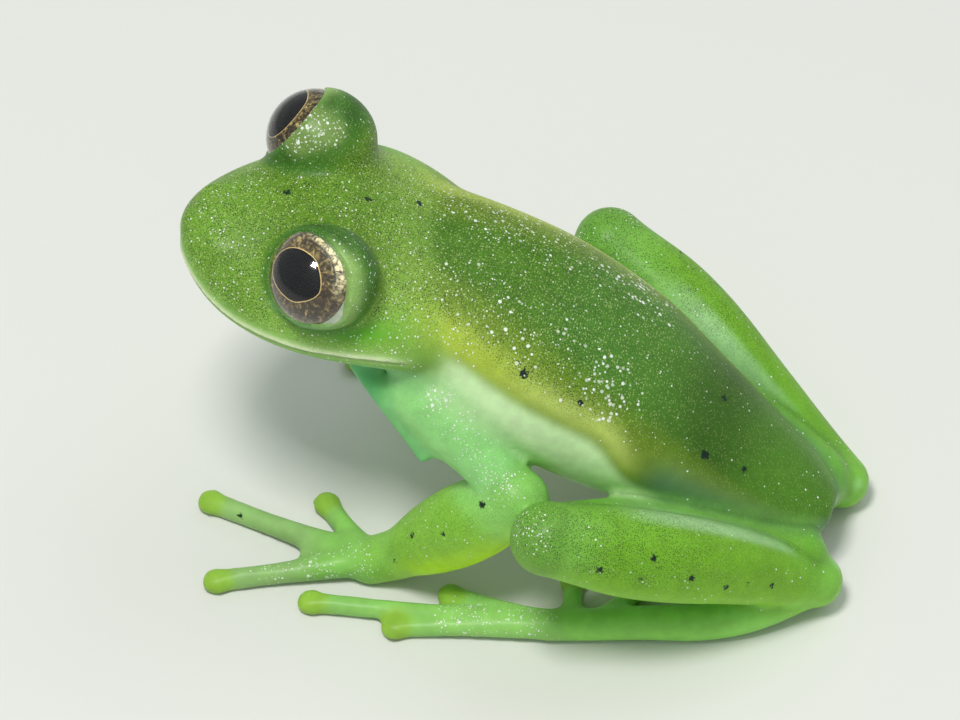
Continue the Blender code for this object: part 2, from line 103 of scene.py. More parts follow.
EYE_BEHIND_SNOUT = 4.63
EYE_APART = 5.957
EYE_LEVEL = 13.5
EYE_RADIUS = 1.66
EYE_LOOK = {"left": (0.61, 0.483, 0.626), "right": (0.694, 0.439, 0.566)}
BULGE_RADII = (1.95, 1.77, 1.76)
BULGE_REARWARD = 0.18
BULGE_DROP = 0.03
LID_AHEAD = {"left": 0.6, "right": 0.85}

TRUNK_AXIS = ((-7.0, 11.2), (-4.5, 10.15), (-1.0, 8.1), (1.5, 6.8), (4.25, 5.1), (6.5, 3.7),
              (8.3, 2.75), (9.4, 2.4))
TRUNK_WIDTH = ((-7.0, 3.1), (-4.5, 3.72), (-1.0, 4.15), (1.5, 3.9), (4.25, 3.15), (6.5, 2.45),
               (8.3, 1.6), (9.4, 0.7))
TRUNK_BACK = ((-7.0, 1.7), (-4.5, 2.3), (-1.0, 2.95), (1.5, 2.7), (4.25, 2.1), (6.5, 1.55),
              (8.3, 1.1), (9.4, 0.5))
TRUNK_BELLY = ((-7.0, 1.8), (-4.5, 2.5), (-1.0, 3.0), (1.5, 3.05), (4.25, 2.5), (6.5, 1.7),
               (8.3, 1.1), (9.4, 0.5))
TRUNK_POWER = 2.1

ARMS = {
    "left": {
        "shoulder": (-3.95, -3.25, 8.4),
        "elbow": (-0.5, -4.97, 5.72),
        "wrist": (-4.75, -4.76, 1.15),
        "palm": (-5.7, -4.85, 0.6),
        "fingers": ((-4.7, -2.9), (-7.9, -2.6), (-11.8, -3.55), (-10.65, -6.85)),
    },
    "right": {
        "shoulder": (-4.2, 3.0, 8.5),
        "elbow": (-1.9, 4.85, 5.7),
        "wrist": (-5.2, 5.5, 1.15),
        "palm": (-6.2, 5.4, 0.6),
        "fingers": ((-5.4, 3.5), (-8.6, 3.9), (-11.8, 5.2), (-10.0, 7.4)),
    },
}
LEGS = {
    "left": {
        "hip": (8.5, -1.95, 1.85),
        "thigh": ((5.5, -3.05, 3.15), (3.55, -4.25, 4.1)),
        "knee": (1.05, -6.85, 6.4),
        "shank": ((3.75, -5.75, 5.15), (6.9, -3.87, 3.2)),
        "heel": (9.35, -2.2, 1.2),
        "tarsus": (6.8, -4.1, 0.68),
        "ankle": (3.4, -5.25, 0.6),
        "sole": (0.9, -5.95, 0.5),
        "toes": ((3.6, -3.2), (1.2, -3.7), (-2.7, -5.4), (-7.25, -6.9), (-4.2, -7.2)),
    },
    "right": {
        "hip": (8.4, 1.55, 1.85),
        "thigh": ((5.3, 2.8, 3.15), (3.0, 3.95, 4.1)),
        "knee": (-0.15, 6.35, 6.4),
        "shank": ((2.6, 5.3, 5.05), (6.05, 3.6, 3.1)),
        "heel": (9.2, 2.45, 1.0),
        "tarsus": (6.2, 4.3, 0.68),
        "ankle": (2.9, 5.2, 0.6),
        "sole": (0.4, 5.9, 0.5),
        "toes": ((2.4, 3.4), (-0.3, 3.8), (-2.4, 5.6), (-6.0, 8.0), (-3.4, 8.3)),
    },
}
UPPER_ARM_SHARES = (0.0, 0.4, 0.7, 1.0)
UPPER_ARM_RADII = (1.5, 1.22, 0.93, 0.95)
FOREARM_SHARES = (0.0, 0.35, 0.7, 1.0)
FOREARM_RADII = (1.12, 1.42, 1.27, 0.9)
PALM_RADIUS = 0.85
DIGIT_LEVEL = 0.28
DIGIT_ARCH = 0.12
DIGIT_ROOT_SWELL = 1.35
FINGER_START = 0.4
FINGER_RADIUS = 0.4
TOE_RADIUS = 0.37
DISC_RADIUS = 0.52
DISC_HEIGHT = 0.36
FOLD_EDGE = ((-6.4, -3.1, 9.1), (-5.45, -3.75, 8.3), (-4.5, -4.2, 7.35), (-3.85, -4.6, 6.6))
FOLD_RADII = (0.5, 0.42, 0.38, 0.27)
FOLD_THICKNESS = 0.8
FOLD_ROOTS = (0.45, 0.2, 0.0)
THIGH_RADII = (1.2, 1.45, 1.45, 1.22)
SHANK_RADII = (1.28, 1.55, 1.33, 0.95)
TARSUS_RADII = (0.85, 0.72, 0.6)
SOLE_RADIUS = 0.55
WEB_BASE = 0.05
WEB_TOP = 0.62
HAND_WEB_SHARES = (0.3, 0.42, 0.42, 0.48)
FOOT_WEB_SHARES = (0.35, 0.5, 0.6, 0.75)
TOE_ROOTS = (0.35, 0.7, 0.9, 1.0, 1.0)

# Fineness
SECTION_POINTS = 96
HEAD_RINGS = 70
SNOUT_START = 0.006
RING_CROWDING = 1.8
TRUNK_RINGS = 70
SLOPE_STEP = 0.05
BALL_SEGMENTS = 48
BALL_RINGS = 32
TUBE_BEVEL = 6
TUBE_STEPS = 12
WELD = 0.0001
SKIN_VOXEL = 0.14
EYE_SEGMENTS = 160
CURVE_READS = 400
WIDTH_READS = 200


def along(stops, place):
    """Reads a smooth curve through (place, value) stops, with level slopes never overshooting."""
    places = [stop[0] for stop in stops]
    values = [stop[1] for stop in stops]
    place = min(max(place, places[0]), places[-1])
    rises = [(values[i + 1] - values[i]) / (places[i + 1] - places[i]) for i in range(len(stops) - 1)]
    slopes = [rises[0]]
    for before, after in zip(rises, rises[1:]):
        same_way = before * after > 0.0
        slopes.append(2.0 * before * after / (before + after) if same_way else 0.0)
    slopes.append(rises[-1])
    i = 0
    while place > places[i + 1]:
        i += 1
    width = places[i + 1] - places[i]
    t = (place - places[i]) / width
    start = (1.0 + 2.0 * t) * (1.0 - t) ** 2 * values[i] + t * (1.0 - t) ** 2 * width * slopes[i]
    end = t * t * (3.0 - 2.0 * t) * values[i + 1] + t * t * (t - 1.0) * width * slopes[i + 1]
    return start + end


def read_many(stops, places):
    """Reads the same smooth curve at many places at once."""
    fine = np.linspace(stops[0][0], stops[-1][0], CURVE_READS)
    return np.interp(places, fine, [along(stops, place) for place in fine])


def between(first, last, share):
    return Vector(first).lerp(Vector(last), share)


def head_turned(ahead, left, up):
    """A direction or offset in the head's own frame, turned into the pose frame."""
    turn = Matrix.Rotation(HEAD_TURN, 3, "Z") @ Matrix.Rotation(HEAD_TILT, 3, "X")
    return turn @ Vector((-ahead, -left, up))


def head_place(behind_snout, left, up):
    return HEAD_PIVOT + head_turned(SNOUT_AHEAD - behind_snout, left, up - EYE_LEVEL)


def side_sign(side):
    return 1.0 if side == "left" else -1.0


def eye_centre(side):
    return head_place(EYE_BEHIND_SNOUT, side_sign(side) * EYE_APART / 2.0, EYE_LEVEL)


def eye_axis(side):
    ahead, outward, up = EYE_LOOK[side]
    return head_turned(ahead, side_sign(side) * outward, up).normalized()


def eye_frame(side):
    """The eye's rearward, upward and outward-looking directions, square to each other."""
    axis = eye_axis(side)
    level = Vector((0.0, 0.0, 1.0)).cross(axis).normalized()
    rear = level if level.x > 0.0 else -level
    up = (Vector((0.0, 0.0, 1.0)) - axis * axis.z).normalized()
    return rear, up, axis


def object_from(name, data):
    thing = bpy.data.objects.new(name, data)
    bpy.context.scene.collection.objects.link(thing)
    return thing


def mesh_object(name, mesh):
    """Makes an object from a bmesh and frees the bmesh."""
    data = bpy.data.meshes.new(name)
    bmesh.ops.recalc_face_normals(mesh, faces=mesh.faces)
    mesh.to_mesh(data)
    mesh.free()
    return object_from(name, data)


def loft(name, rings):
    """A closed body through rings that have the same number of points."""
    mesh = bmesh.new()
    loops = [[mesh.verts.new(point) for point in ring] for ring in rings]
    count = len(loops[0])
    for near, far in zip(loops, loops[1:]):
        for i in range(count):
            j = (i + 1) % count
            mesh.faces.new((near[i], near[j], far[j], far[i]))
    mesh.faces.new(loops[0])
    mesh.faces.new(loops[-1])
    return mesh_object(name, mesh)


def section(half_width, up, down, up_power, down_power):
    """Points (side, height) round a section whose upper and lower halves differ."""
    points = []
    for i in range(SECTION_POINTS):
        turn = 2.0 * math.pi * i / SECTION_POINTS
        c = math.cos(turn)
        s = math.sin(turn)
        power = 2.0 / (up_power if s >= 0.0 else down_power)
        side = math.copysign(abs(c) ** power, c) * half_width
        height = abs(s) ** power * (up if s >= 0.0 else -down)
        points.append((side, height))
    return points


def ball(name, centre, radii):
    """An egg whose three radii lie along X, Y and Z."""
    mesh = bmesh.new()
    bmesh.ops.create_uvsphere(mesh, u_segments=BALL_SEGMENTS, v_segments=BALL_RINGS, radius=1.0)
    bmesh.ops.scale(mesh, vec=radii, verts=mesh.verts)
    bmesh.ops.translate(mesh, vec=centre, verts=mesh.verts)
    return mesh_object(name, mesh)


def tube(name, places, radii):
    """A round tube through places, each with its radius, and a ball in each end."""
    curve = bpy.data.curves.new(name, "CURVE")
    curve.dimensions = "3D"
    curve.bevel_depth = 1.0
    curve.bevel_resolution = TUBE_BEVEL
    curve.resolution_u = TUBE_STEPS
    curve.use_fill_caps = True
    spline = curve.splines.new("BEZIER")
    spline.radius_interpolation = "CARDINAL"
    spline.bezier_points.add(len(places) - 1)
    for spot, place, radius in zip(spline.bezier_points, places, radii):
        spot.co = place
        spot.radius = radius
        spot.handle_left_type = "AUTO"
        spot.handle_right_type = "AUTO"
    line = object_from(name + "_line", curve)
    bpy.context.view_layer.update()
    depsgraph = bpy.context.evaluated_depsgraph_get()
    data = bpy.data.meshes.new_from_object(line.evaluated_get(depsgraph))
    bpy.data.objects.remove(line)
    mesh = bmesh.new()
    mesh.from_mesh(data)
    bmesh.ops.remove_doubles(mesh, verts=mesh.verts, dist=WELD)
    pieces = [mesh_object(name, mesh)]
    for i in (0, -1):
        pieces.append(ball(name + "_end", places[i], (radii[i],) * 3))
    return pieces


def plate(name, corners, rise):
    """A flat skin sheet over the corner points, made solid by lifting a copy of it."""
    mesh = bmesh.new()
    face = mesh.faces.new([mesh.verts.new(corner) for corner in corners])
    lifted = bmesh.ops.extrude_face_region(mesh, geom=[face])
    tops = [item for item in lifted["geom"] if isinstance(item, bmesh.types.BMVert)]
    bmesh.ops.translate(mesh, vec=rise, verts=tops)
    bmesh.ops.triangulate(mesh, faces=mesh.faces)
    return mesh_object(name, mesh)


def flattened(name, whole, place, way):
    """The body with what lies past a flat cut at place, on the side that way points to, taken off."""
    mesh = bmesh.new()
    mesh.from_mesh(whole.data)
    bpy.data.objects.remove(whole)
    everything = mesh.verts[:] + mesh.edges[:] + mesh.faces[:]
    bmesh.ops.bisect_plane(mesh, geom=everything, plane_co=place, plane_no=way, clear_outer=True)
    rim = [edge for edge in mesh.edges if edge.is_boundary]
    bmesh.ops.holes_fill(mesh, edges=rim, sides=0)
    return mesh_object(name, mesh)


def settle(thing):
    """Turns what the modifiers show into the object's own mesh."""
    bpy.context.view_layer.update()
    depsgraph = bpy.context.evaluated_depsgraph_get()
    data = bpy.data.meshes.new_from_object(thing.evaluated_get(depsgraph))
    thing.modifiers.clear()
    thing.data = data


def head_half_width(behind, side):
    """The head's width on one side: a round snout outline that narrows again at the nape."""
    share = min(behind / HEAD_ROUND, 1.0)
    past = max(behind - NAPE[side], 0.0)
    round_part = math.sqrt(1.0 - (1.0 - share) ** HEAD_ROUND_POWER)
    return HEAD_HALF_WIDTH * round_part - NAPE_NARROWING[side] * past ** 2


def bulge_centre(side):
    """The middle of the swelling round an eye, a little behind and below the eye's own middle."""
    return eye_centre(side) + head_turned(-BULGE_REARWARD, 0.0, -BULGE_DROP)


def head_pieces():
    """The head with its jaw, the two eye bulges, flat at the lid rim, and the raised nostrils."""
    rings = []
    for i in range(HEAD_RINGS + 1):
        behind = HEAD_LENGTH * (SNOUT_START + (1.0 - SNOUT_START) * (i / HEAD_RINGS) ** RING_CROWDING)
        lip = along(LIP_LEVEL, behind)
        up = along(CROWN_LEVEL, behind) - lip
        down = lip - along(JAW_LEVEL, behind)
        ring = []
        for across, height in section(1.0, up, down, CROWN_POWER, JAW_POWER):
            half_width = head_half_width(behind, "left" if across > 0.0 else "right")
            ring.append(head_place(behind, across * half_width, lip + height))
        rings.append(ring)
    pieces = [loft("skull", rings)]
    for side in SIDES:
        axis = eye_axis(side)
        whole = ball("bulge_whole", bulge_centre(side), BULGE_RADII)
        pieces.append(flattened("bulge", whole, eye_centre(side) + axis * LID_AHEAD[side], axis))
        behind, out, up = NOSTRIL_BALL
        pieces.append(ball("nostril", head_place(behind, side_sign(side) * out, up), (NOSTRIL_RADIUS,) * 3))
    return pieces


def trunk_pieces():
    """The body from inside the head to the vent, in sections square to its sloping axis."""
    first = TRUNK_AXIS[0][0]
    last = TRUNK_AXIS[-1][0]
    rings = []
    for i in range(TRUNK_RINGS + 1):
        x = first + (last - first) * i / TRUNK_RINGS
        rise = along(TRUNK_AXIS, x + SLOPE_STEP) - along(TRUNK_AXIS, x - SLOPE_STEP)
        upright = Vector((-rise, 0.0, 2.0 * SLOPE_STEP)).normalized()
        middle = Vector((x, 0.0, along(TRUNK_AXIS, x)))
        points = section(along(TRUNK_WIDTH, x), along(TRUNK_BACK, x), along(TRUNK_BELLY, x),
                         TRUNK_POWER, TRUNK_POWER)
        rings.append([middle + Vector((0.0, side, 0.0)) + upright * height for side, height in points])
    return [loft("barrel", rings)]


def mirrored(place, side):
    """A left-side place, or its mirror image for the right side."""
    return Vector((place[0], place[1] * side_sign(side), place[2]))


def fold_pieces(side):
    """The skin fold in front of the upper arm, which ends in the spine's hooked point."""
    arm = ARMS[side]
    edge = [mirrored(place, side) for place in FOLD_EDGE]
    inner = [between(arm["shoulder"], arm["elbow"], share) for share in FOLD_ROOTS]
    rise = Vector((0.0, FOLD_THICKNESS, 0.0))
    corners = [place - rise / 2.0 for place in edge + inner]
    return tube("fold_edge", edge, FOLD_RADII) + [plate("fold", corners, rise)]


def digit(name, start, tip, radius):
    """A slender digit, a little arched, that ends in a round flat disc."""
    start = Vector(start)
    end = Vector((*tip, DIGIT_LEVEL))
    middle = start.lerp(end, 0.5)
    middle.z = DIGIT_LEVEL + DIGIT_ARCH
    pieces = tube(name, (start, middle, end), (radius * DIGIT_ROOT_SWELL, radius, radius))
    pieces.append(ball(name + "_disc", end, (DISC_RADIUS, DISC_RADIUS, DISC_HEIGHT)))
    return pieces


def web(name, middle, tips, shares):
    """The web between digits, which reaches along each of them by its share."""
    corners = [Vector((middle.x, middle.y, WEB_BASE))]
    corners += [between(corners[0], (*tip, WEB_BASE), share) for tip, share in zip(tips, shares)]
    return plate(name, corners, Vector((0.0, 0.0, WEB_TOP - WEB_BASE)))


def arm_pieces(side):
    """The arm from inside the shoulder down to the four fingertips."""
    arm = ARMS[side]
    shoulder = Vector(arm["shoulder"])
    elbow = Vector(arm["elbow"])
    wrist = Vector(arm["wrist"])
    palm = Vector(arm["palm"])
    upper = [shoulder.lerp(elbow, share) for share in UPPER_ARM_SHARES]
    lower = [elbow.lerp(wrist, share) for share in FOREARM_SHARES]
    pieces = tube("upper_arm", upper, UPPER_ARM_RADII)
    pieces += fold_pieces(side)
    pieces += tube("forearm", lower, FOREARM_RADII)
    pieces += tube("palm", (wrist, palm), (FOREARM_RADII[-1], PALM_RADIUS))
    for number, tip in enumerate(arm["fingers"], 1):
        toward = (Vector((*tip, palm.z)) - palm).normalized()
        pieces += digit(f"finger_{number}", palm + toward * FINGER_START, tip, FINGER_RADIUS)
    pieces.append(web("palm_web", palm, arm["fingers"], HAND_WEB_SHARES))
    return pieces


def leg_pieces(side):
    """The thigh, the shank folded back over the tarsus, and the foot down to the five toe tips."""
    leg = LEGS[side]
    heel = Vector(leg["heel"])
    ankle = Vector(leg["ankle"])
    sole = Vector(leg["sole"])
    pieces = tube("thigh", (leg["hip"], *leg["thigh"], leg["knee"]), THIGH_RADII)
    pieces += tube("shank", (leg["knee"], *leg["shank"], heel), SHANK_RADII)
    pieces += tube("tarsus", (heel, leg["tarsus"], ankle), TARSUS_RADII)
    pieces += tube("sole", (ankle, sole), (TARSUS_RADII[-1], SOLE_RADIUS))
    for number, (tip, share) in enumerate(zip(leg["toes"], TOE_ROOTS), 1):
        pieces += digit(f"toe_{number}", ankle.lerp(sole, share), tip, TOE_RADIUS)
    pieces.append(web("toe_web", sole, leg["toes"][1:], FOOT_WEB_SHARES))
    return pieces


class Surface:
    """A mesh's points as an array, with what is needed to smooth and move them."""

    def __init__(self, data):
        self.data = data
        self.points = np.empty(len(data.vertices) * 3)
        data.vertices.foreach_get("co", self.points)
        self.points = self.points.reshape(-1, 3)
        edges = np.empty(len(data.edges) * 2, np.int32)
        data.edges.foreach_get("vertices", edges)
        self.near, self.far = edges.reshape(-1, 2).T
        count = len(self.points)
        self.valence = np.bincount(self.near, minlength=count) + np.bincount(self.far, minlength=count)

    def around(self, values):
        """The mean of the values at each point's neighbours."""
        total = np.empty_like(values)
        for k in range(values.shape[1]):
            total[:, k] = np.bincount(self.near, values[self.far, k], len(values))
            total[:, k] += np.bincount(self.far, values[self.near, k], len(values))
        return total / self.valence[:, None]

    def write(self):
        self.data.vertices.foreach_set("co", self.points.ravel())
        self.data.update()

    def normals(self):
        self.write()
        found = np.empty(self.points.size)
        self.data.vertices.foreach_get("normal", found)
        return found.reshape(-1, 3)

    def smooth(self, weight, rounds, factor=0.5):
        """Evens the points out, by a weight at each of them."""
        for _ in range(rounds):
            self.points += (self.around(self.points) - self.points) * (weight * factor)[:, None]

    def fill(self, weight, rounds):
        """Raises hollows only, as skin that spans a join does, by a weight at each point."""
        for turn in range(rounds):
            if turn % NORMALS_EVERY == 0:
                normals = self.normals()
            pull = self.around(self.points) - self.points
            rise = np.maximum((pull * normals).sum(axis=1), 0.0)
            self.points += normals * (rise * weight)[:, None]


def softly(values, low, high):
    """Rises smoothly from 0 at low to 1 at high."""
    share = np.clip((values - low) / (high - low), 0.0, 1.0)
    return share * share * (3.0 - 2.0 * share)


def hill(values, middle, half_width):
    """A smooth hill of height 1."""
    return np.exp(-((values - middle) / half_width) ** 2)


def eye_coordinates(points, side):
    """Each point's distance ahead of the eye's centre, off its axis, and angle from the rear upward."""
    rear, up, axis = (np.array(way) for way in eye_frame(side))
    offset = points - np.array(eye_centre(side))
    ahead = offset @ axis
    back = offset @ rear
    high = offset @ up
    return ahead, np.hypot(back, high), np.arctan2(high, back)


def head_coordinates(points):
    """Each point's distance behind the snout tip, to the head's left, and its level in the head's frame."""
    offset = points - np.array(HEAD_PIVOT)
    ahead_way = np.array(head_turned(1.0, 0.0, 0.0))
    left_way = np.array(head_turned(0.0, 1.0, 0.0))
    up_way = np.array(head_turned(0.0, 0.0, 1.0))
    return SNOUT_AHEAD - offset @ ahead_way, offset @ left_way, EYE_LEVEL + offset @ up_way


# Where one skin spans a join between two forms: a place, how far it reaches, and how strongly it fills
NECK_JOINS = (((-3.2, 0.2, 12.2), 3.6, 1.0), ((-4.2, -3.3, 10.3), 1.8, 0.8), ((-3.2, 3.6, 10.3), 1.8, 0.8))
SHOULDER_AND_HIP_JOINS = (((-3.6, -3.6, 8.3), 1.9, 0.5), ((8.6, -1.5, 2.1), 1.2, 0.6))
ARM_JOINS = (("wrist", 1.3, 0.8), ("palm", 1.5, 0.7), ("elbow", 1.1, 0.12))
LEG_JOINS = (("sole", 1.6, 0.6), ("ankle", 1.2, 0.6))
BULGE_JOIN_DEPTH = 1.2
BULGE_JOIN_REACH = 2.3
NOSTRIL_JOIN_REACH = 1.3
FILL_ROUNDS = 60
NORMALS_EVERY = 6
REMESH_SOFTENING = 4
JOIN_SOFTENING = 4
FINE_SOFTENING = 8
RIM_SOFTENING = 3
FLOOR_CLEARANCE = 0.004


def join_places():
    """All the joins, both sides together."""
    places = list(NECK_JOINS)
    behind, out, up = NOSTRIL_BALL
    for side in SIDES:
        places.append((eye_centre(side) - eye_axis(side) * BULGE_JOIN_DEPTH, BULGE_JOIN_REACH, 1.0))
        places.append((head_place(behind, side_sign(side) * out, up), NOSTRIL_JOIN_REACH, 1.0))
        for place, reach, strength in SHOULDER_AND_HIP_JOINS:
            places.append((mirrored(place, side), reach, strength))
        for limb, joins in ((ARMS[side], ARM_JOINS), (LEGS[side], LEG_JOINS)):
            places += [(limb[name], reach, strength) for name, reach, strength in joins]
    return places


def near_places(points, places):
    """How much each point belongs to any of the places, from 0 to 1."""
    weight = np.zeros(len(points))
    for place, reach, strength in places:
        distance = np.linalg.norm(points - np.array(place), axis=1)
        weight += strength * np.exp(-((distance / reach) ** 4))
    return np.minimum(weight, 1.0)


def lip_gap(points):
    """Each point's height above the mouth line, how far behind the snout tip, and how far to the left."""
    behind, left, up = head_coordinates(points)
    return up - read_many(LIP_LEVEL, behind), behind, left


# The eyelids: a rim round the eye, which opens at the rear corner to show a little white
LID_THICKNESS = 0.06
LID_BLEND = 0.06
LID_DEPTH = 0.45
LID_HOOD = 0.05
LID_HOOD_TURN = math.radians(75.0)
RIM_BEAD = 0.02
RIM_ROUNDING = 0.07
RIM_BEAD_HILL = (0.08, 0.07)
LID_FADE = (0.9, 1.4)
LID_FAR = 2.6
CORNER_TURN = math.radians(-21.0)
CORNER_WIDTH = math.radians(24.0)
CORNER_OPENING = 0.22
REAR_TURN = math.radians(22.0)
REAR_WIDTH = math.radians(40.0)
REAR_OPENING = {"left": 0.13, "right": 0.0}

# The mouth line and the slits of the nostrils: ends, depths and half widths, in millimetres
MOUTH_END = 8.0
MOUTH_FADE = 1.2
MOUTH_DEPTH = 0.11
MOUTH_HILL = (0.0, 0.06)
MOUTH_PAST = 0.5
MOUTH_NEAR = 0.8
LIP_BEAD = 0.05
LIP_BEAD_HILL = (0.16, 0.1)
SLIT_WAY = (-0.8, 0.6)
SLIT_DEPTH = 0.14
SLIT_HALF_LENGTH = 0.16
SLIT_HALF_WIDTH = 0.08
SLIT_LIP = 0.03
SLIT_LIP_HALF_LENGTH = 0.24
SLIT_LIP_HILL = (0.16, 0.08)

# How near the eyes, the mouth line and the nostrils the skin has fine and finest faces
FINE_NOSTRIL = 0.55
FINE_RIM = 0.24
FINE_EYE = 2.1
FINE_MOUTH = 0.24
FINE_MOUTH_PAST = 0.2
FINEST_NOSTRIL = 0.35
FINEST_RIM = (-0.12, 0.08)
FINEST_EYE = (1.5, 2.0)


def turn_share(turn, middle, width):
    """How much an angle round the eye belongs to the angles near a middle one."""
    away = (turn - middle + math.pi) % (2.0 * math.pi) - math.pi
    return np.exp(-((away / width) ** 2))


def corner_share(turn):
    """How much an angle round the eye belongs to its rear corner."""
    return turn_share(turn, CORNER_TURN, CORNER_WIDTH)


def lid_opening(turn, side):
    """The angle between the eye's axis and the rim of its lids, at each angle round the eye."""
    opening = math.acos(LID_AHEAD[side] / (EYE_RADIUS + LID_THICKNESS))
    opening = opening - LID_HOOD * np.cos(turn - LID_HOOD_TURN) + CORNER_OPENING * corner_share(turn)
    return opening + REAR_OPENING[side] * turn_share(turn, REAR_TURN, REAR_WIDTH)


def lid_coordinates(points, side):
    """Each point's distance from the eye's middle, angle outside the rim of the lids, and angle round it."""
    ahead, off, turn = eye_coordinates(points, side)
    return np.hypot(ahead, off), np.arctan2(off, ahead) - lid_opening(turn, side), turn


def near_nostril(points, reach):
    chosen = np.zeros(len(points), bool)
    for side in SIDES:
        nostril = np.array(head_place(NOSTRIL[0], side_sign(side) * NOSTRIL[1], NOSTRIL[2]))
        chosen |= np.linalg.norm(points - nostril, axis=1) < reach
    return chosen


def fine_zone(points):
    """True where the skin needs fine faces: round the eyes, along the mouth, at the nostrils."""
    chosen = near_nostril(points, FINE_NOSTRIL)
    for side in SIDES:
        distance, outside, _ = lid_coordinates(points, side)
        chosen |= (np.abs(outside) < FINE_RIM) & (distance < FINE_EYE)
    gap, behind, _ = lip_gap(points)
    chosen |= (np.abs(gap) < FINE_MOUTH) & (behind < MOUTH_END + FINE_MOUTH_PAST)
    return chosen


def finest_zone(points):
    """True at the lid rims and in the nostrils."""
    chosen = near_nostril(points, FINEST_NOSTRIL)
    for side in SIDES:
        distance, outside, _ = lid_coordinates(points, side)
        at_rim = (outside > FINEST_RIM[0]) & (outside < FINEST_RIM[1])
        chosen |= at_rim & (distance > FINEST_EYE[0]) & (distance < FINEST_EYE[1])
    return chosen


def refine(thing, zone):
    """Splits the faces in a zone, so that fine forms fit there."""
    mesh = bmesh.new()
    mesh.from_mesh(thing.data)
    middles = np.array([face.calc_center_median() for face in mesh.faces])
    edges = {edge for face, take in zip(mesh.faces, zone(middles)) if take for edge in face.edges}
    bmesh.ops.subdivide_edges(mesh, edges=list(edges), cuts=1, use_grid_fill=True)
    many = [face for face in mesh.faces if len(face.verts) > 4]
    bmesh.ops.triangulate(mesh, faces=many)
    mesh.to_mesh(thing.data)
    mesh.free()


def shape_lids(surface):
    """Opens the skin over each eye, with a rounded rim that hugs the eyeball."""
    for side in SIDES:
        middle = np.array(eye_centre(side))
        distance, outside, _ = lid_coordinates(surface.points, side)
        least = EYE_RADIUS + LID_THICKNESS + RIM_BEAD * hill(outside, *RIM_BEAD_HILL)
        over = 0.5 * (distance + least + np.hypot(distance - least, LID_BLEND))
        share = np.clip(-outside / RIM_ROUNDING, 0.0, 1.0)
        lid = LID_DEPTH + (over - LID_DEPTH) * np.sqrt(1.0 - share ** 2)
        near = (1.0 - softly(outside, *LID_FADE)) * (distance < LID_FAR)
        target = distance + (lid - distance) * near
        surface.points += ((target / distance - 1.0)[:, None]) * (surface.points - middle)


def shape_mouth(surface):
    """Presses the mouth line in round the snout, under a slight bead along the upper lip."""
    gap, behind, _ = lip_gap(surface.points)
    reach = 1.0 - softly(behind, MOUTH_END - MOUTH_FADE, MOUTH_END)
    inside = (behind < MOUTH_END + MOUTH_PAST) & (np.abs(gap) < MOUTH_NEAR)
    press = LIP_BEAD * hill(gap, *LIP_BEAD_HILL) - MOUTH_DEPTH * hill(gap, *MOUTH_HILL)
    surface.points += surface.normals() * (press * reach * inside)[:, None]


def shape_nostrils(surface):
    """A small slit in each raised nostril."""
    for side in SIDES:
        sign = side_sign(side)
        middle = np.array(head_place(NOSTRIL[0], sign * NOSTRIL[1], NOSTRIL[2]))
        along_slit = np.array(head_turned(SLIT_WAY[0], sign * SLIT_WAY[1], 0.0))
        offset = surface.points - middle
        lengthways = offset @ along_slit
        distance = np.linalg.norm(offset, axis=1)
        across = np.sqrt(np.maximum(distance ** 2 - lengthways ** 2, 0.0))
        slit = hill(lengthways, 0.0, SLIT_HALF_LENGTH) * hill(across, 0.0, SLIT_HALF_WIDTH)
        lip = hill(lengthways, 0.0, SLIT_LIP_HALF_LENGTH) * hill(across, *SLIT_LIP_HILL)
        surface.points += surface.normals() * (lip * SLIT_LIP - slit * SLIT_DEPTH)[:, None]


def build_skin():
    """One closed skin over all the flesh."""
    pieces = head_pieces() + trunk_pieces()
    for side in SIDES:
        pieces += arm_pieces(side) + leg_pieces(side)
    mesh = bmesh.new()
    for piece in pieces:
        mesh.from_mesh(piece.data)
        bpy.data.objects.remove(piece)
    skin = mesh_object("skin", mesh)
    remesh = skin.modifiers.new("one_body", "REMESH")
    remesh.mode = "VOXEL"
    remesh.voxel_size = SKIN_VOXEL
    settle(skin)
    surface = Surface(skin.data)
    surface.smooth(np.ones(len(surface.points)), REMESH_SOFTENING)
    surface.fill(near_places(surface.points, join_places()), FILL_ROUNDS)
    surface.smooth(near_places(surface.points, join_places()), JOIN_SOFTENING)
    surface.write()
    refine(skin, fine_zone)
    refine(skin, finest_zone)
    surface = Surface(skin.data)
    surface.smooth(fine_zone(surface.points).astype(float), FINE_SOFTENING)
    shape_lids(surface)
    shape_mouth(surface)
    shape_nostrils(surface)
    surface.smooth(finest_zone(surface.points).astype(float), RIM_SOFTENING)
    surface.points[:, 2] = np.maximum(surface.points[:, 2], FLOOR_CLEARANCE)
    surface.write()
    return skin, surface


def place_in_frame(thing):
    """Moves a finished mesh from pose millimetres to the frame's metres."""
    thing.data.transform(Matrix.Scale(MM, 4) @ Matrix.Translation(-MIDDLE))
    thing.data.shade_smooth()


def photo_camera():
    """The photograph's view: the camera's right, up and backward ways and its place, in pose millimetres."""
    a = VIEW_AZIMUTH
    e = VIEW_ELEVATION
    right = Vector((math.cos(a), math.sin(a), 0.0))
    back = Vector((math.sin(a) * math.cos(e), -math.cos(a) * math.cos(e), math.sin(e)))
    up = back.cross(right)
    look = right * LOOK[0] + up * LOOK[1] + back * LOOK[2]
    return right, up, back, look + back * VIEW_DISTANCE


def add_camera():
    right, up, back, place = photo_camera()
    data = bpy.data.cameras.new("photo_view")
    data.sensor_width = SENSOR
    data.lens = SENSOR * VIEW_DISTANCE * PIXELS_PER_MM / PHOTO_WIDTH
    data.clip_start = CLIP_NEAR
    data.clip_end = CLIP_FAR
    camera = object_from("photo_view", data)
    camera.matrix_world = Matrix.LocRotScale(
        (place - MIDDLE) * MM, Matrix((right, up, back)).transposed().to_quaternion(), None)
    bpy.context.scene.camera = camera


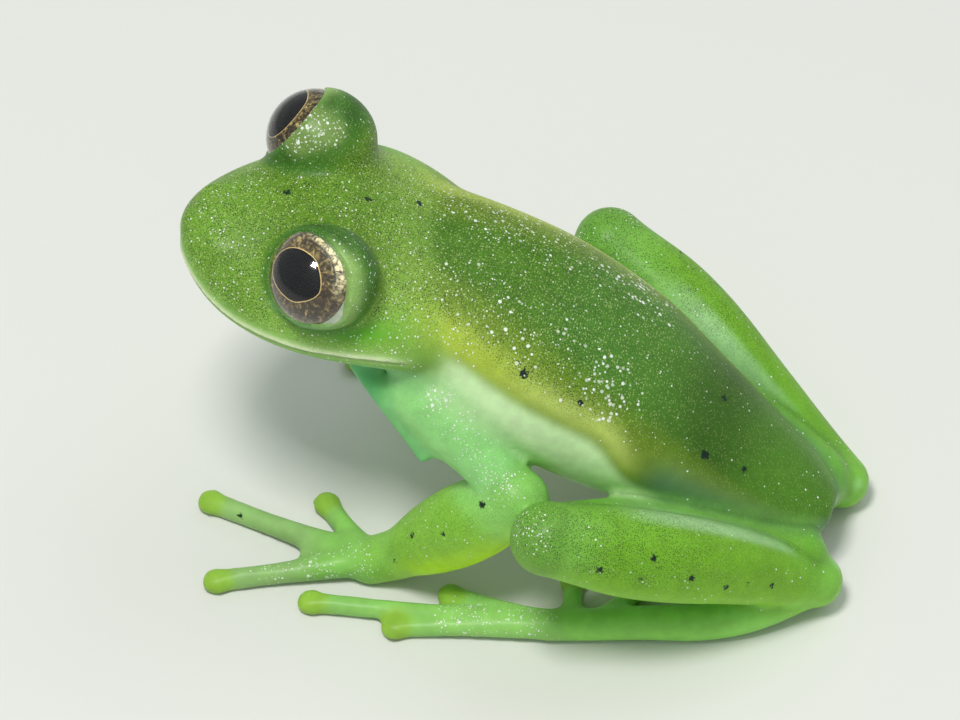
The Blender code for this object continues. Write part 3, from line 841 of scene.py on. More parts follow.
def add_area_light(name, way, distance, size, power, colour):
    """A square soft light that shines on the frog from a direction given as right, up and back."""
    right, up, back, _ = photo_camera()
    direction = (right * way[0] + up * way[1] + back * way[2]).normalized()
    data = bpy.data.lights.new(name, "AREA")
    data.size = size
    data.energy = power
    data.color = colour
    light = object_from(name, data)
    light.location = direction * distance + LIGHT_TARGET
    light.rotation_euler = direction.to_track_quat("Z", "Y").to_euler()


# How a point's place along the trunk's sloping axis is found, step by step
AXIS_ROUNDS = 14
AXIS_STEP = 0.7
# Where the trunk and the skull stop, and the rough radii that a point's part of the arm is judged by
TRUNK_END = 10.0
SKULL_END = 8.0
SKULL_END_RISE = 0.5
LEAST_WIDTH = 1.0
FAR = 9.0
UPPER_ARM_ROUGHLY = (1.5, 1.15)
FOREARM_ROUGHLY = (1.25, 0.95)
WRIST_ROUGHLY = 0.9


def trunk_coordinates(points):
    """Each point's place along the trunk's axis, and its angle round it: 90 at the back, -90 at the belly."""
    place = points[:, 0].copy()
    first = TRUNK_AXIS[0][0]
    last = TRUNK_AXIS[-1][0]
    for _ in range(AXIS_ROUNDS):
        height = read_many(TRUNK_AXIS, place)
        slope = (read_many(TRUNK_AXIS, place + SLOPE_STEP) - read_many(TRUNK_AXIS, place - SLOPE_STEP))
        slope /= 2.0 * SLOPE_STEP
        lag = (points[:, 0] - place + (points[:, 2] - height) * slope) / (1.0 + slope ** 2)
        place = np.clip(place + AXIS_STEP * lag, first, last)
    rise = (points[:, 2] - height - (points[:, 0] - place) * slope) / np.sqrt(1.0 + slope ** 2)
    return place, np.degrees(np.arctan2(rise, np.abs(points[:, 1]))), rise


def tube_gap(points, places, radii):
    """Each point's distance from a tube's surface, and its share of the way along the tube."""
    places = [np.array(place) for place in places]
    lengths = [np.linalg.norm(after - before) for before, after in zip(places, places[1:])]
    total = sum(lengths)
    gap = np.full(len(points), np.inf)
    share = np.zeros(len(points))
    done = 0.0
    for i, length in enumerate(lengths):
        way = (places[i + 1] - places[i]) / length
        reach = np.clip((points - places[i]) @ way, 0.0, length)
        nearest = places[i] + reach[:, None] * way
        t = reach / length
        distance = np.linalg.norm(points - nearest, axis=1) - (radii[i] * (1.0 - t) + radii[i + 1] * t)
        closer = distance < gap
        gap = np.where(closer, distance, gap)
        share = np.where(closer, (done + reach) / total, share)
        done += length
    return gap, share


def trunk_gap(points, place, rise):
    """Each point's rough distance from the barrel's surface."""
    wide = read_many(TRUNK_WIDTH, place)
    tall = np.where(rise > 0.0, read_many(TRUNK_BACK, place), read_many(TRUNK_BELLY, place))
    share = np.hypot(points[:, 1] / wide, rise / tall)
    ends = np.maximum(TRUNK_AXIS[0][0] - points[:, 0], 0.0) + np.maximum(points[:, 0] - TRUNK_END, 0.0)
    return (share - 1.0) * np.minimum(wide, tall) + ends


def head_gap(points):
    """Each point's rough distance from the skull's surface."""
    behind, left, up = head_coordinates(points)
    lip = read_many(LIP_LEVEL, behind)
    fine = np.linspace(0.0, HEAD_LENGTH, WIDTH_READS)
    widths = {side: [max(head_half_width(place, side), LEAST_WIDTH) for place in fine] for side in SIDES}
    left_width, right_width = (np.interp(behind, fine, widths[side]) for side in SIDES)
    wide = np.where(left > 0.0, left_width, right_width)
    tall = np.where(up > lip, read_many(CROWN_LEVEL, behind) - lip, lip - read_many(JAW_LEVEL, behind))
    tall = np.maximum(tall, LEAST_WIDTH)
    share = np.hypot(left / wide, (up - lip) / tall)
    return (share - 1.0) * np.minimum(wide, tall) + np.maximum(behind - SKULL_END, 0.0) * SKULL_END_RISE


LIMBS = ("upper_arm", "fold", "forearm", "hand", "thigh", "shank", "foot")


def limb_gaps(points, side):
    """The distance from each of one side's limb parts, and the share along the longer ones."""
    arm = ARMS[side]
    leg = LEGS[side]
    palm = Vector(arm["palm"])
    sole = Vector(leg["sole"])
    ankle = Vector(leg["ankle"])
    gaps = {}
    gaps["upper_arm"] = tube_gap(points, (arm["shoulder"], arm["elbow"]), UPPER_ARM_ROUGHLY)
    gaps["fold"] = tube_gap(points, [mirrored(place, side) for place in FOLD_EDGE], FOLD_RADII)
    gaps["forearm"] = tube_gap(points, (arm["elbow"], arm["wrist"]), FOREARM_ROUGHLY)
    gaps["thigh"] = tube_gap(points, (leg["hip"], *leg["thigh"], leg["knee"]), THIGH_RADII)
    gaps["shank"] = tube_gap(points, (leg["knee"], *leg["shank"], leg["heel"]), SHANK_RADII)
    hand = [tube_gap(points, (arm["wrist"], palm), (WRIST_ROUGHLY, PALM_RADIUS))]
    for tip in arm["fingers"]:
        end = (*tip, DIGIT_LEVEL)
        hand.append(tube_gap(points, (palm, end), (FINGER_RADIUS,) * 2))
    foot_line = (leg["heel"], leg["tarsus"], ankle, sole)
    foot = [tube_gap(points, foot_line, (*TARSUS_RADII, SOLE_RADIUS))]
    for tip, root in zip(leg["toes"], TOE_ROOTS):
        foot.append(tube_gap(points, (ankle.lerp(sole, root), (*tip, DIGIT_LEVEL)), (TOE_RADIUS,) * 2))
    gaps["hand"] = (np.min([part[0] for part in hand], axis=0), None)
    gaps["foot"] = (np.min([part[0] for part in foot], axis=0), foot[0][1])
    return gaps


JOIN_WIDTH = 0.34


def flesh_shares(points):
    """How much each point belongs to the head, the trunk and each limb part; the shares add up to 1."""
    place, turn, rise = trunk_coordinates(points)
    gaps = {"trunk": trunk_gap(points, place, rise), "head": head_gap(points)}
    lengthways = {}
    left = points[:, 1] < 0.0
    for name in LIMBS:
        gaps[name] = np.full(len(points), FAR)
        lengthways[name] = np.zeros(len(points))
    for side, here in (("left", left), ("right", ~left)):
        for name, (gap, share) in limb_gaps(points[here], side).items():
            gaps[name][here] = gap
            if share is not None:
                lengthways[name][here] = share
    least = np.min(list(gaps.values()), axis=0)
    shares = {name: np.exp(-((gap - least) / JOIN_WIDTH) ** 2) for name, gap in gaps.items()}
    total = sum(shares.values())
    return {name: share / total for name, share in shares.items()}, lengthways, place, turn


# Colours of the skin, as a screen shows them (red, green and blue from 0 to 255)
SKIN_COLOURS = {
    "crown": (98, 140, 32),
    "snout": (112, 158, 50),
    "cheek": (140, 182, 76),
    "under_eye": (86, 166, 32),
    "lip": (132, 184, 83),
    "lip_edge": (232, 245, 200),
    "lid": (58, 114, 36),
    "lid_light": (142, 180, 100),
    "lid_groove": (48, 92, 24),
    "lid_rim": (118, 165, 112),
    # pale ground under the lids' patch of painted glints
    "lid_glint_ground": (130, 160, 84),
    # painted shade for the lines where the trunk, the thighs and the shanks meet
    "painted_shade_line": (40, 82, 22),
    "throat": (128, 190, 128),
    "back_front": (76, 123, 20),
    "back_middle": (77, 128, 40),
    "back_rear": (56, 98, 20),
    "flank": (108, 140, 32),
    "flank_edge": (178, 198, 98),
    "shoulder": (168, 192, 56),
    "belly": (208, 240, 182),
    "belly_low": (222, 240, 205),
    "hip": (94, 133, 92),
    "rump": (78, 130, 32),
    "upper_arm": (148, 214, 128),
    "fold": (88, 176, 104),
    "forearm": (131, 190, 56),
    "arm_edge": (187, 237, 30),
    "hand": (139, 198, 94),
    "finger": (146, 188, 112),
    "disc": (146, 190, 66),
    "thigh": (104, 172, 56),
    "knee": (124, 184, 70),
    "shank": (113, 171, 38),
    "shank_low": (134, 200, 18),
    # a painted sheen of wet skin, laid along the inner upper side of each shank
    "painted_shank_sheen": (172, 214, 160),
    "foot": (145, 215, 95),
}


def linear(colour):
    """A screen colour as the light it stands for."""
    share = np.array(colour) / 255.0
    return np.where(share <= 0.04045, share / 12.92, ((share + 0.055) / 1.055) ** 2.4)


DARK_SPOTS = (
    (-9.63, -0.62, 13.97, 0.14), (-7.01, 0.04, 13.67, 0.12), (-5.54, 1.14, 12.68, 0.12),
    (-0.75, -3.16, 10.18, 0.16), (1.20, -3.06, 9.15, 0.12), (5.38, 0.26, 6.86, 0.13),
    (5.27, -1.96, 6.39, 0.17), (6.54, -1.47, 5.41, 0.12), (3.04, -7.52, 6.19, 0.13),
    (4.65, -6.51, 6.12, 0.13), (4.36, -7.09, 5.60, 0.08), (5.90, -6.16, 4.98, 0.12),
    (6.93, -5.48, 4.05, 0.12), (7.54, -4.95, 3.77, 0.07), (8.27, -4.34, 3.15, 0.11),
    (-1.53, -5.67, 5.96, 0.14), (-4.00, -5.62, 3.48, 0.11), (-2.79, -6.03, 4.43, 0.10),
    (-4.60, -5.69, 1.95, 0.10), (-10.60, -4.09, 0.55, 0.11), (-11.35, -2.45, 13.35, 0.09),
    (-2.3, 3.1, 11.3, 0.14), (0.9, 2.9, 9.9, 0.15), (4.4, 2.4, 7.3, 0.14), (6.8, 1.7, 5.2, 0.12),
    (2.4, 6.5, 6.6, 0.13), (4.3, 5.9, 5.7, 0.12), (6.6, 4.9, 4.0, 0.13), (8.0, 3.9, 2.6, 0.1),
    (-2.9, 5.9, 5.6, 0.13), (-4.3, 6.1, 3.1, 0.1), (-10.2, 1.1, 13.9, 0.1),
)
# Clusters of painted glints, white dots that stand for highlights on the wet granules: a place, how far they
# reach, how dense they are; each is on both sides
LARGE_GLINT_CLUSTERS = (
    (1.9, -2.35, 9.1, 1.25, 1.0), (0.3, -2.0, 10.2, 1.1, 0.35), (-1.2, -2.0, 11.0, 1.3, 0.28),
    (-2.8, -1.9, 11.8, 1.3, 0.2), (-4.2, -1.8, 12.5, 1.2, 0.12), (-3.4, -4.3, 9.4, 0.5, 0.8),
    (-1.9, -6.3, 0.7, 0.8, 0.3), (-0.3, -6.1, 0.7, 0.8, 0.3), (-7.2, -5.8, 0.6, 0.7, 0.25),
)
SMALL_GLINT_CLUSTERS = (
    (-3.35, -4.25, 9.35, 0.6, 1.0), (-2.7, -4.55, 8.5, 0.6, 1.0), (-2.0, -4.75, 7.75, 0.6, 0.95),
    (-1.2, -5.2, 6.8, 0.75, 1.0), (0.4, -7.15, 7.35, 0.6, 1.0), (1.0, -7.65, 7.25, 0.5, 1.0),
    (-5.2, -1.8, 13.2, 1.5, 0.42), (-4.6, -3.2, 12.6, 1.5, 0.5), (-6.4, -0.6, 13.6, 1.6, 0.22),
    (-11.6, -2.4, 13.45, 0.4, 1.0), (-10.6, -3.4, 12.7, 0.9, 0.35), (-11.7, -0.9, 13.5, 0.5, 0.7),
    (-11.0, -0.5, 13.8, 0.45, 0.6), (-12.2, -1.6, 12.9, 0.8, 0.35),
    (-2.8, -1.9, 11.8, 1.8, 0.4), (-0.5, -2.0, 10.8, 1.5, 0.3), (-1.9, -6.5, 0.7, 0.9, 1.0),
    (0.2, -5.9, 0.7, 0.9, 1.0), (-7.2, -5.8, 0.6, 0.8, 0.9), (-8.7, -6.2, 0.6, 0.7, 0.7),
    (-5.9, -5.4, 0.9, 0.8, 0.7), (-6.9, -4.2, 10.9, 1.2, 0.5), (-4.9, -4.4, 10.9, 1.0, 0.6),
)
# The pale patch of close painted glints, white dots standing for highlights, on the right eye's lid
LID_GLINT_PATCH = (
    (-9.16, -1.23, 15.32, 0.85, 1.0), (-8.6, -1.3, 15.25, 0.55, 1.0), (-9.6, -0.9, 14.95, 0.6, 1.0),
)
# Pairs of parts with a line of painted shade where they meet
SHADED_JOINS = (("trunk", "thigh"), ("thigh", "shank"))
JOIN_SHADE_POWER = 9.0


def nearest_spots(points):
    """Each point's distance beyond the rim of the nearest dark spot, in millimetres."""
    gap = np.full(len(points), FAR)
    for x, y, z, radius in DARK_SPOTS:
        distance = np.linalg.norm(points - np.array((x, y, z)), axis=1)
        gap = np.minimum(gap, distance - radius)
    return gap


def dot_density(points, clusters):
    """How thickly the painted glints, white dots standing for highlights, of some clusters lie on the skin,
    from 0 to 1.
    """
    both = points.copy()
    both[:, 1] = -np.abs(both[:, 1])
    density = np.zeros(len(points))
    for x, y, z, reach, strength in clusters:
        distance = np.linalg.norm(both - np.array((x, y, z)), axis=1)
        density = np.maximum(density, strength * np.exp(-((distance / reach) ** 4)))
    return density


def add_number(data, name, values):
    layer = data.attributes.new(name, "FLOAT", "POINT")
    layer.data.foreach_set("value", np.asarray(values, np.float32))


def add_colour(data, name, values):
    layer = data.attributes.new(name, "FLOAT_COLOR", "POINT")
    rows = np.ones((len(values), 4), np.float32)
    rows[:, :3] = values
    layer.data.foreach_set("color", rows.ravel())


def flat(name, count):
    return np.tile(linear(SKIN_COLOURS[name]), (count, 1))


def lay(below, name, cover):
    """Lays a colour over others, as far as its cover says at each point."""
    return below + (linear(SKIN_COLOURS[name]) - below) * np.clip(cover, 0.0, 1.0)[:, None]


# Bands of the back: a colour, and where along the trunk's axis it begins and is full
BACK_BANDS = (("back_middle", -3.0, 0.0), ("back_rear", 1.5, 4.5), ("rump", 4.5, 7.0))
# Edges round the trunk, in degrees from its side upward; lines have a height over the white and a half width
FLANK_TURN = 45.0
FLANK_FALL = 3.0
FLANK_BLEND = 12.0
WHITE_TURN = 17.0
WHITE_FALL = 16.0
WHITE_BLEND = 4.0
FLANK_LINE = (9.0, 7.0)
SHOULDER_LINE = (10.0, 9.0)
SHOULDER_COVER = 0.9
HIP_TURNS = (8.0, 34.0)
LOW_BELLY_TURNS = (-30.0, -5.0)
THROAT_TURNS = (-25.0, 12.0)
# Stretches of the trunk's axis over which an edge falls or a colour begins or ends
WHITE_FALL_STRETCH = (1.0, 3.4)
FLANK_LINE_END = (1.8, 3.6)
SHOULDER_END = (-3.0, -0.5)
HIP_START = (2.6, 3.8)
THROAT_END = (-4.4, -3.2)
BELLY_END = (3.0, 4.6)


def trunk_ground(place, turn):
    """The trunk's colours: bands along the back, a yellow line over the white belly, and the hips."""
    ground = flat("back_front", len(place))
    for name, start, full in BACK_BANDS:
        ground = lay(ground, name, softly(place, start, full))
    low = FLANK_TURN - FLANK_FALL * place
    ground = lay(ground, "flank", 1.0 - softly(turn, low - FLANK_BLEND, low + FLANK_BLEND))
    edge = WHITE_TURN - softly(place, *WHITE_FALL_STRETCH) * WHITE_FALL
    above, half_width = FLANK_LINE
    line = hill(turn, edge + above, half_width)
    ground = lay(ground, "flank_edge", line * (1.0 - softly(place, *FLANK_LINE_END)))
    above, half_width = SHOULDER_LINE
    line = hill(turn, edge + above, half_width) * (1.0 - softly(place, *SHOULDER_END))
    ground = lay(ground, "shoulder", line * SHOULDER_COVER)
    ground = lay(ground, "hip", softly(place, *HIP_START) * (1.0 - softly(turn, *HIP_TURNS)))
    white = 1.0 - softly(turn, edge - WHITE_BLEND, edge + WHITE_BLEND)
    past_throat = softly(place, *THROAT_END)
    ground = lay(ground, "belly", white * past_throat * (1.0 - softly(place, *BELLY_END)))
    ground = lay(ground, "belly_low", (1.0 - softly(turn, *LOW_BELLY_TURNS)) * past_throat)
    return lay(ground, "throat", (1.0 - softly(turn, *THROAT_TURNS)) * (1.0 - past_throat))


# On the head: levels, distances behind the snout tip or aside, and heights over the mouth line
CHEEK_LEVELS = (12.2, 13.6)
SNOUT_STRETCH = (1.5, 4.0)
LIP_GAPS = (0.15, 0.95)
CHIN_GAPS = (-0.75, -0.15)
LIP_EDGE_HILL = (0.12, 0.15)
UNDER_EYE_GAP_HILL = (1.0, 0.4)
UNDER_EYE_BEHIND_HILL = (5.6, 1.8)
UNDER_EYE_ASIDE = (2.6, 3.4)
LIP_FADE = 1.5
# Round an eye: distances from its middle, ahead of it and off its axis, and shares of the swelling's size
BULGE_AHEAD = -2.4
BULGE_OFF = 3.0
LID_SWELL = (1.03, 1.25)
LID_START = (-1.4, -0.4)
GROOVE_START = (-1.4, -0.2)
EYE_NEARNESS = (2.0, 2.5)
# Sides of an eye: an angle from its rear upward, and the cosines away from it that begin and fill a side
LIGHT_SIDE = (18.0, 0.1, 0.8)
RIM_SIDE = (292.0, 0.5, 0.9)
OUTER_GROOVE_SIDE = (25.0, 0.0, 0.6)
INNER_GROOVE_SIDE = (115.0, 0.3, 0.8)
# Angles outside the rim of the lids, in radians
LIGHT_EDGE = (0.06, 0.4)
RIM_HILL = (0.06, 0.07)
OUTER_GROOVE_HILL = (0.62, 0.2)
INNER_GROOVE_HILL = (0.2, 0.16)
LID_COVER = 0.85
RIM_COVER = 0.8
GROOVE_COVER = 0.85
GLINT_PATCH_COVER = 0.8


def facing(turn, side):
    """How much an angle round the eye belongs to one of its sides."""
    middle, start, full = side
    return softly(np.cos(turn - math.radians(middle)), start, full)


def lids_over(head, points, side):
    """Lays the lid colours of one eye, and gives each point's share in the lid and in its grooves."""
    ahead, off, around = eye_coordinates(points, side)
    distance, outside, _ = lid_coordinates(points, side)
    on_bulge = (ahead > BULGE_AHEAD) & (off < BULGE_OFF)
    swell = np.linalg.norm((points - np.array(bulge_centre(side))) / np.array(BULGE_RADII), axis=1)
    lid = (1.0 - softly(swell, *LID_SWELL)) * on_bulge * softly(ahead, *LID_START)
    near_eye = on_bulge * (1.0 - softly(distance, *EYE_NEARNESS))
    head = lay(head, "lid", lid * LID_COVER)
    light = (1.0 - softly(outside, *LIGHT_EDGE)) * facing(around, LIGHT_SIDE)
    head = lay(head, "lid_light", light * near_eye)
    rim = hill(outside, *RIM_HILL) * facing(around, RIM_SIDE)
    head = lay(head, "lid_rim", rim * near_eye * RIM_COVER)
    outer = hill(outside, *OUTER_GROOVE_HILL) * facing(around, OUTER_GROOVE_SIDE) * near_eye
    inner = hill(outside, *INNER_GROOVE_HILL) * facing(around, INNER_GROOVE_SIDE)
    return head, lid, np.maximum(outer, inner) * near_eye * softly(ahead, *GROOVE_START)


def head_ground(points, gap, mouth_reach, glint_patch):
    """The head's colours from the crown down to the chin, with the pale ground of the lids' painted glint
    patch, and each point's share in the lids.
    """
    behind, left, up = head_coordinates(points)
    head = flat("crown", len(points))
    head = lay(head, "cheek", 1.0 - softly(up, *CHEEK_LEVELS))
    head = lay(head, "snout", 1.0 - softly(behind, *SNOUT_STRETCH))
    head = lay(head, "lip", 1.0 - softly(gap, *LIP_GAPS))
    under_eye = hill(gap, *UNDER_EYE_GAP_HILL) * hill(behind, *UNDER_EYE_BEHIND_HILL)
    head = lay(head, "under_eye", under_eye * softly(np.abs(left), *UNDER_EYE_ASIDE))
    head = lay(head, "throat", 1.0 - softly(gap, *CHIN_GAPS))
    head = lay(head, "lip_edge", hill(gap, *LIP_EDGE_HILL) * mouth_reach)
    lids = np.zeros(len(points))
    grooves = np.zeros(len(points))
    for side in SIDES:
        head, lid, groove = lids_over(head, points, side)
        lids = np.maximum(lids, lid)
        grooves = np.maximum(grooves, groove)
    head = lay(head, "lid_groove", grooves * GROOVE_COVER)
    return lay(head, "lid_glint_ground", glint_patch * GLINT_PATCH_COVER), lids


# On the limbs: upward shares of the surface's direction, and shares of the way along a part
ARM_EDGE_SLOPES = (-0.5, 0.3)
SHANK_LOW_SLOPES = (-0.35, 0.45)
SHEEN_INWARD = (0.12, 0.45)
SHEEN_SLOPES = (0.2, 0.6)
SHEEN_START = (0.1, 0.4)
THIGH_KNEE = (0.8, 1.0)
SHANK_KNEE = (0.02, 0.2)
TOE_START = (0.9, 1.0)
SHANK_LOW_COVER = 0.9
SHEEN_COVER = 0.8
TOE_COVER = 0.5
PALM_PLACE = -5.8
PALM_TO_FINGERS = (1.2, 2.6)
DISC_EDGE = (0.45, 0.9)


def limb_grounds(points, normals, lengthways):
    """The colours of each limb part."""
    grounds = {name: flat(name, len(points)) for name in LIMBS}
    up = normals[:, 2]
    # Painted sheen: a pale band where a shank's skin faces the trunk and upward
    sheen_side = softly(-normals[:, 1] * np.sign(points[:, 1]), *SHEEN_INWARD) * softly(up, *SHEEN_SLOPES)
    discs = np.zeros(len(points))
    for side in SIDES:
        for tip in ARMS[side]["fingers"] + LEGS[side]["toes"]:
            distance = np.linalg.norm(points - np.array((*tip, DIGIT_LEVEL)), axis=1)
            discs = np.maximum(discs, 1.0 - softly(distance, *DISC_EDGE))
    covers = (
        ("forearm", "arm_edge", 1.0 - softly(up, *ARM_EDGE_SLOPES)),
        ("hand", "finger", softly(np.abs(points[:, 0] - PALM_PLACE), *PALM_TO_FINGERS)),
        ("hand", "disc", discs),
        ("thigh", "knee", softly(lengthways["thigh"], *THIGH_KNEE)),
        ("shank", "knee", 1.0 - softly(lengthways["shank"], *SHANK_KNEE)),
        ("shank", "shank_low", (1.0 - softly(up, *SHANK_LOW_SLOPES)) * SHANK_LOW_COVER),
        ("shank", "painted_shank_sheen", sheen_side * softly(lengthways["shank"], *SHEEN_START) * SHEEN_COVER),
        ("foot", "finger", softly(lengthways["foot"], *TOE_START) * TOE_COVER),
        ("foot", "disc", discs),
    )
    for part, name, cover in covers:
        grounds[part] = lay(grounds[part], name, cover)
    return grounds


# How close the dark points and the pale grains lie: a level, and its change where a fade is full
HEAD_NET = (0.95, -0.65)
BACK_NET = (0.8, -0.55)
SHANK_NET = (0.75, -0.55)
THIGH_NET = (0.1, 0.65)
FOREARM_NET = 0.4
UPPER_ARM_NET = 0.15
FLANK_NET = 0.3
HEAD_GRAINS = (0.9, -0.6)
BACK_GRAINS = (0.75, -0.5)
LIMB_GRAINS = (("shank", 0.3), ("thigh", 0.25), ("forearm", 0.35))
ABOVE_LIP_GAPS = (0.2, 0.9)
CLEAR_GAP_HILL = (0.9, 0.35)
CLEAR_BEHIND_HILL = (6.2, 2.4)
BACK_NET_TURNS = (22.0, 40.0)
BACK_NET_FADE = (-1.0, 3.0)
FLANK_NET_HILL = (30.0, 10.0)
FLANK_NET_END = (2.0, 4.0)
BACK_GRAIN_TURNS = (15.0, 30.0)
BACK_GRAIN_FADE = (1.0, 4.0)
UPPER_SIDE_SLOPES = (-0.25, 0.35)
SHANK_NET_FADE = (0.25, 0.75)
THIGH_NET_FADE = (0.7, 1.0)
LIP_GLITTER_HILL = (0.45, 0.25)
LID_TOP_LEVELS = (12.9, 13.9)
# Densities of the painted glints, white dots standing for highlights
LID_TOP_GLINTS = {"left": 0.22, "right": 0.12}
PATCH_LARGE_GLINTS = 0.5
GRAIN_SMALL_GLINTS = 0.14
JOIN_SHADE_CLEARNESS = (0.3, 0.45)
JOIN_SHADE_COVER = 0.35
LEAST_SHARE = 0.001


def faded(levels, fade):
    """A level that changes by its second number where the fade is full."""
    return levels[0] + levels[1] * fade


def join_shade_lines(shares):
    """How much each point lies on a line of painted shade where two parts meet."""
    shade_lines = np.zeros(len(shares["trunk"]))
    for first, second in SHADED_JOINS:
        both = np.stack((shares[first], shares[second]))
        ratio = both.min(axis=0) / np.maximum(both.max(axis=0), LEAST_SHARE)
        shade_lines = np.maximum(shade_lines, ratio ** JOIN_SHADE_POWER * softly(both.max(axis=0), *JOIN_SHADE_CLEARNESS))
    return shade_lines


def colour_skin(surface):
    """Gives every point of the skin its ground colour and how dotted, pale and glinting it is."""
    points = surface.points
    shares, lengthways, place, turn = flesh_shares(points)
    gap, behind, left = lip_gap(points)
    up = head_coordinates(points)[2]
    normals = surface.normals()
    mouth_reach = 1.0 - softly(behind, MOUTH_END - LIP_FADE, MOUTH_END)
    # the lids' patch of painted highlights
    glint_patch = dot_density(points, LID_GLINT_PATCH)
    head, lids = head_ground(points, gap, mouth_reach, glint_patch)
    grounds = {"trunk": trunk_ground(place, turn), "head": head}
    grounds.update(limb_grounds(points, normals, lengthways))
    ground = sum(grounds[name] * shares[name][:, None] for name in grounds)
    # Painted shade: a darker line where the trunk meets a thigh and a thigh meets its shank
    ground = lay(ground, "painted_shade_line", join_shade_lines(shares) * JOIN_SHADE_COVER)

    above_lip = softly(gap, *ABOVE_LIP_GAPS)
    clear_cheek = 1.0 - hill(gap, *CLEAR_GAP_HILL) * hill(behind, *CLEAR_BEHIND_HILL)
    dotting = shares["head"] * above_lip * clear_cheek * faded(HEAD_NET, lids)
    back_net = faded(BACK_NET, softly(place, *BACK_NET_FADE))
    dotting += shares["trunk"] * softly(turn, *BACK_NET_TURNS) * back_net
    flank_net = hill(turn, *FLANK_NET_HILL) * FLANK_NET * (1.0 - softly(place, *FLANK_NET_END))
    dotting += shares["trunk"] * flank_net
    upper_side = softly(normals[:, 2], *UPPER_SIDE_SLOPES)
    dotting += shares["shank"] * upper_side * faded(SHANK_NET, softly(lengthways["shank"], *SHANK_NET_FADE))
    dotting += shares["thigh"] * upper_side * faded(THIGH_NET, softly(lengthways["thigh"], *THIGH_NET_FADE))
    dotting += shares["forearm"] * upper_side * FOREARM_NET
    dotting += shares["upper_arm"] * upper_side * UPPER_ARM_NET
    pale = shares["head"] * above_lip * faded(HEAD_GRAINS, lids) * clear_cheek
    back_grains = faded(BACK_GRAINS, softly(place, *BACK_GRAIN_FADE))
    pale += shares["trunk"] * softly(turn, *BACK_GRAIN_TURNS) * back_grains
    for name, level in LIMB_GRAINS:
        pale += shares[name] * level
    lip_glitter = hill(gap, *LIP_GLITTER_HILL) * shares["head"] * mouth_reach
    # Painted highlights: how thickly the white glint dots lie, in clusters, with the pale grains and on the
    # lids
    large_glint_density = np.maximum(dot_density(points, LARGE_GLINT_CLUSTERS), glint_patch * PATCH_LARGE_GLINTS)
    small_glint_density = np.maximum(dot_density(points, SMALL_GLINT_CLUSTERS), pale * GRAIN_SMALL_GLINTS)
    lid_top_glints = lids * softly(up, *LID_TOP_LEVELS)
    lid_top_glints *= np.where(left < 0.0, LID_TOP_GLINTS["right"], LID_TOP_GLINTS["left"])
    small_glint_density = np.maximum(np.maximum(small_glint_density, lid_top_glints), glint_patch)
    add_colour(surface.data, "ground", ground)
    add_number(surface.data, "dotting", dotting)
    add_number(surface.data, "pale", pale + lip_glitter)
    add_number(surface.data, "large_glints", large_glint_density)
    add_number(surface.data, "small_glints", small_glint_density)
    add_number(surface.data, "spot_gap", nearest_spots(points))


# Painted glints, white dots standing for highlights: the blur of an edge as a share of their spacing, and the
# faintest one's strength
GLINT_DOT_EDGE = (0.07, -0.07)
FAINTEST_GLINT = 0.4
GLOW_COLOUR = (0.7, 1.0, 0.45)


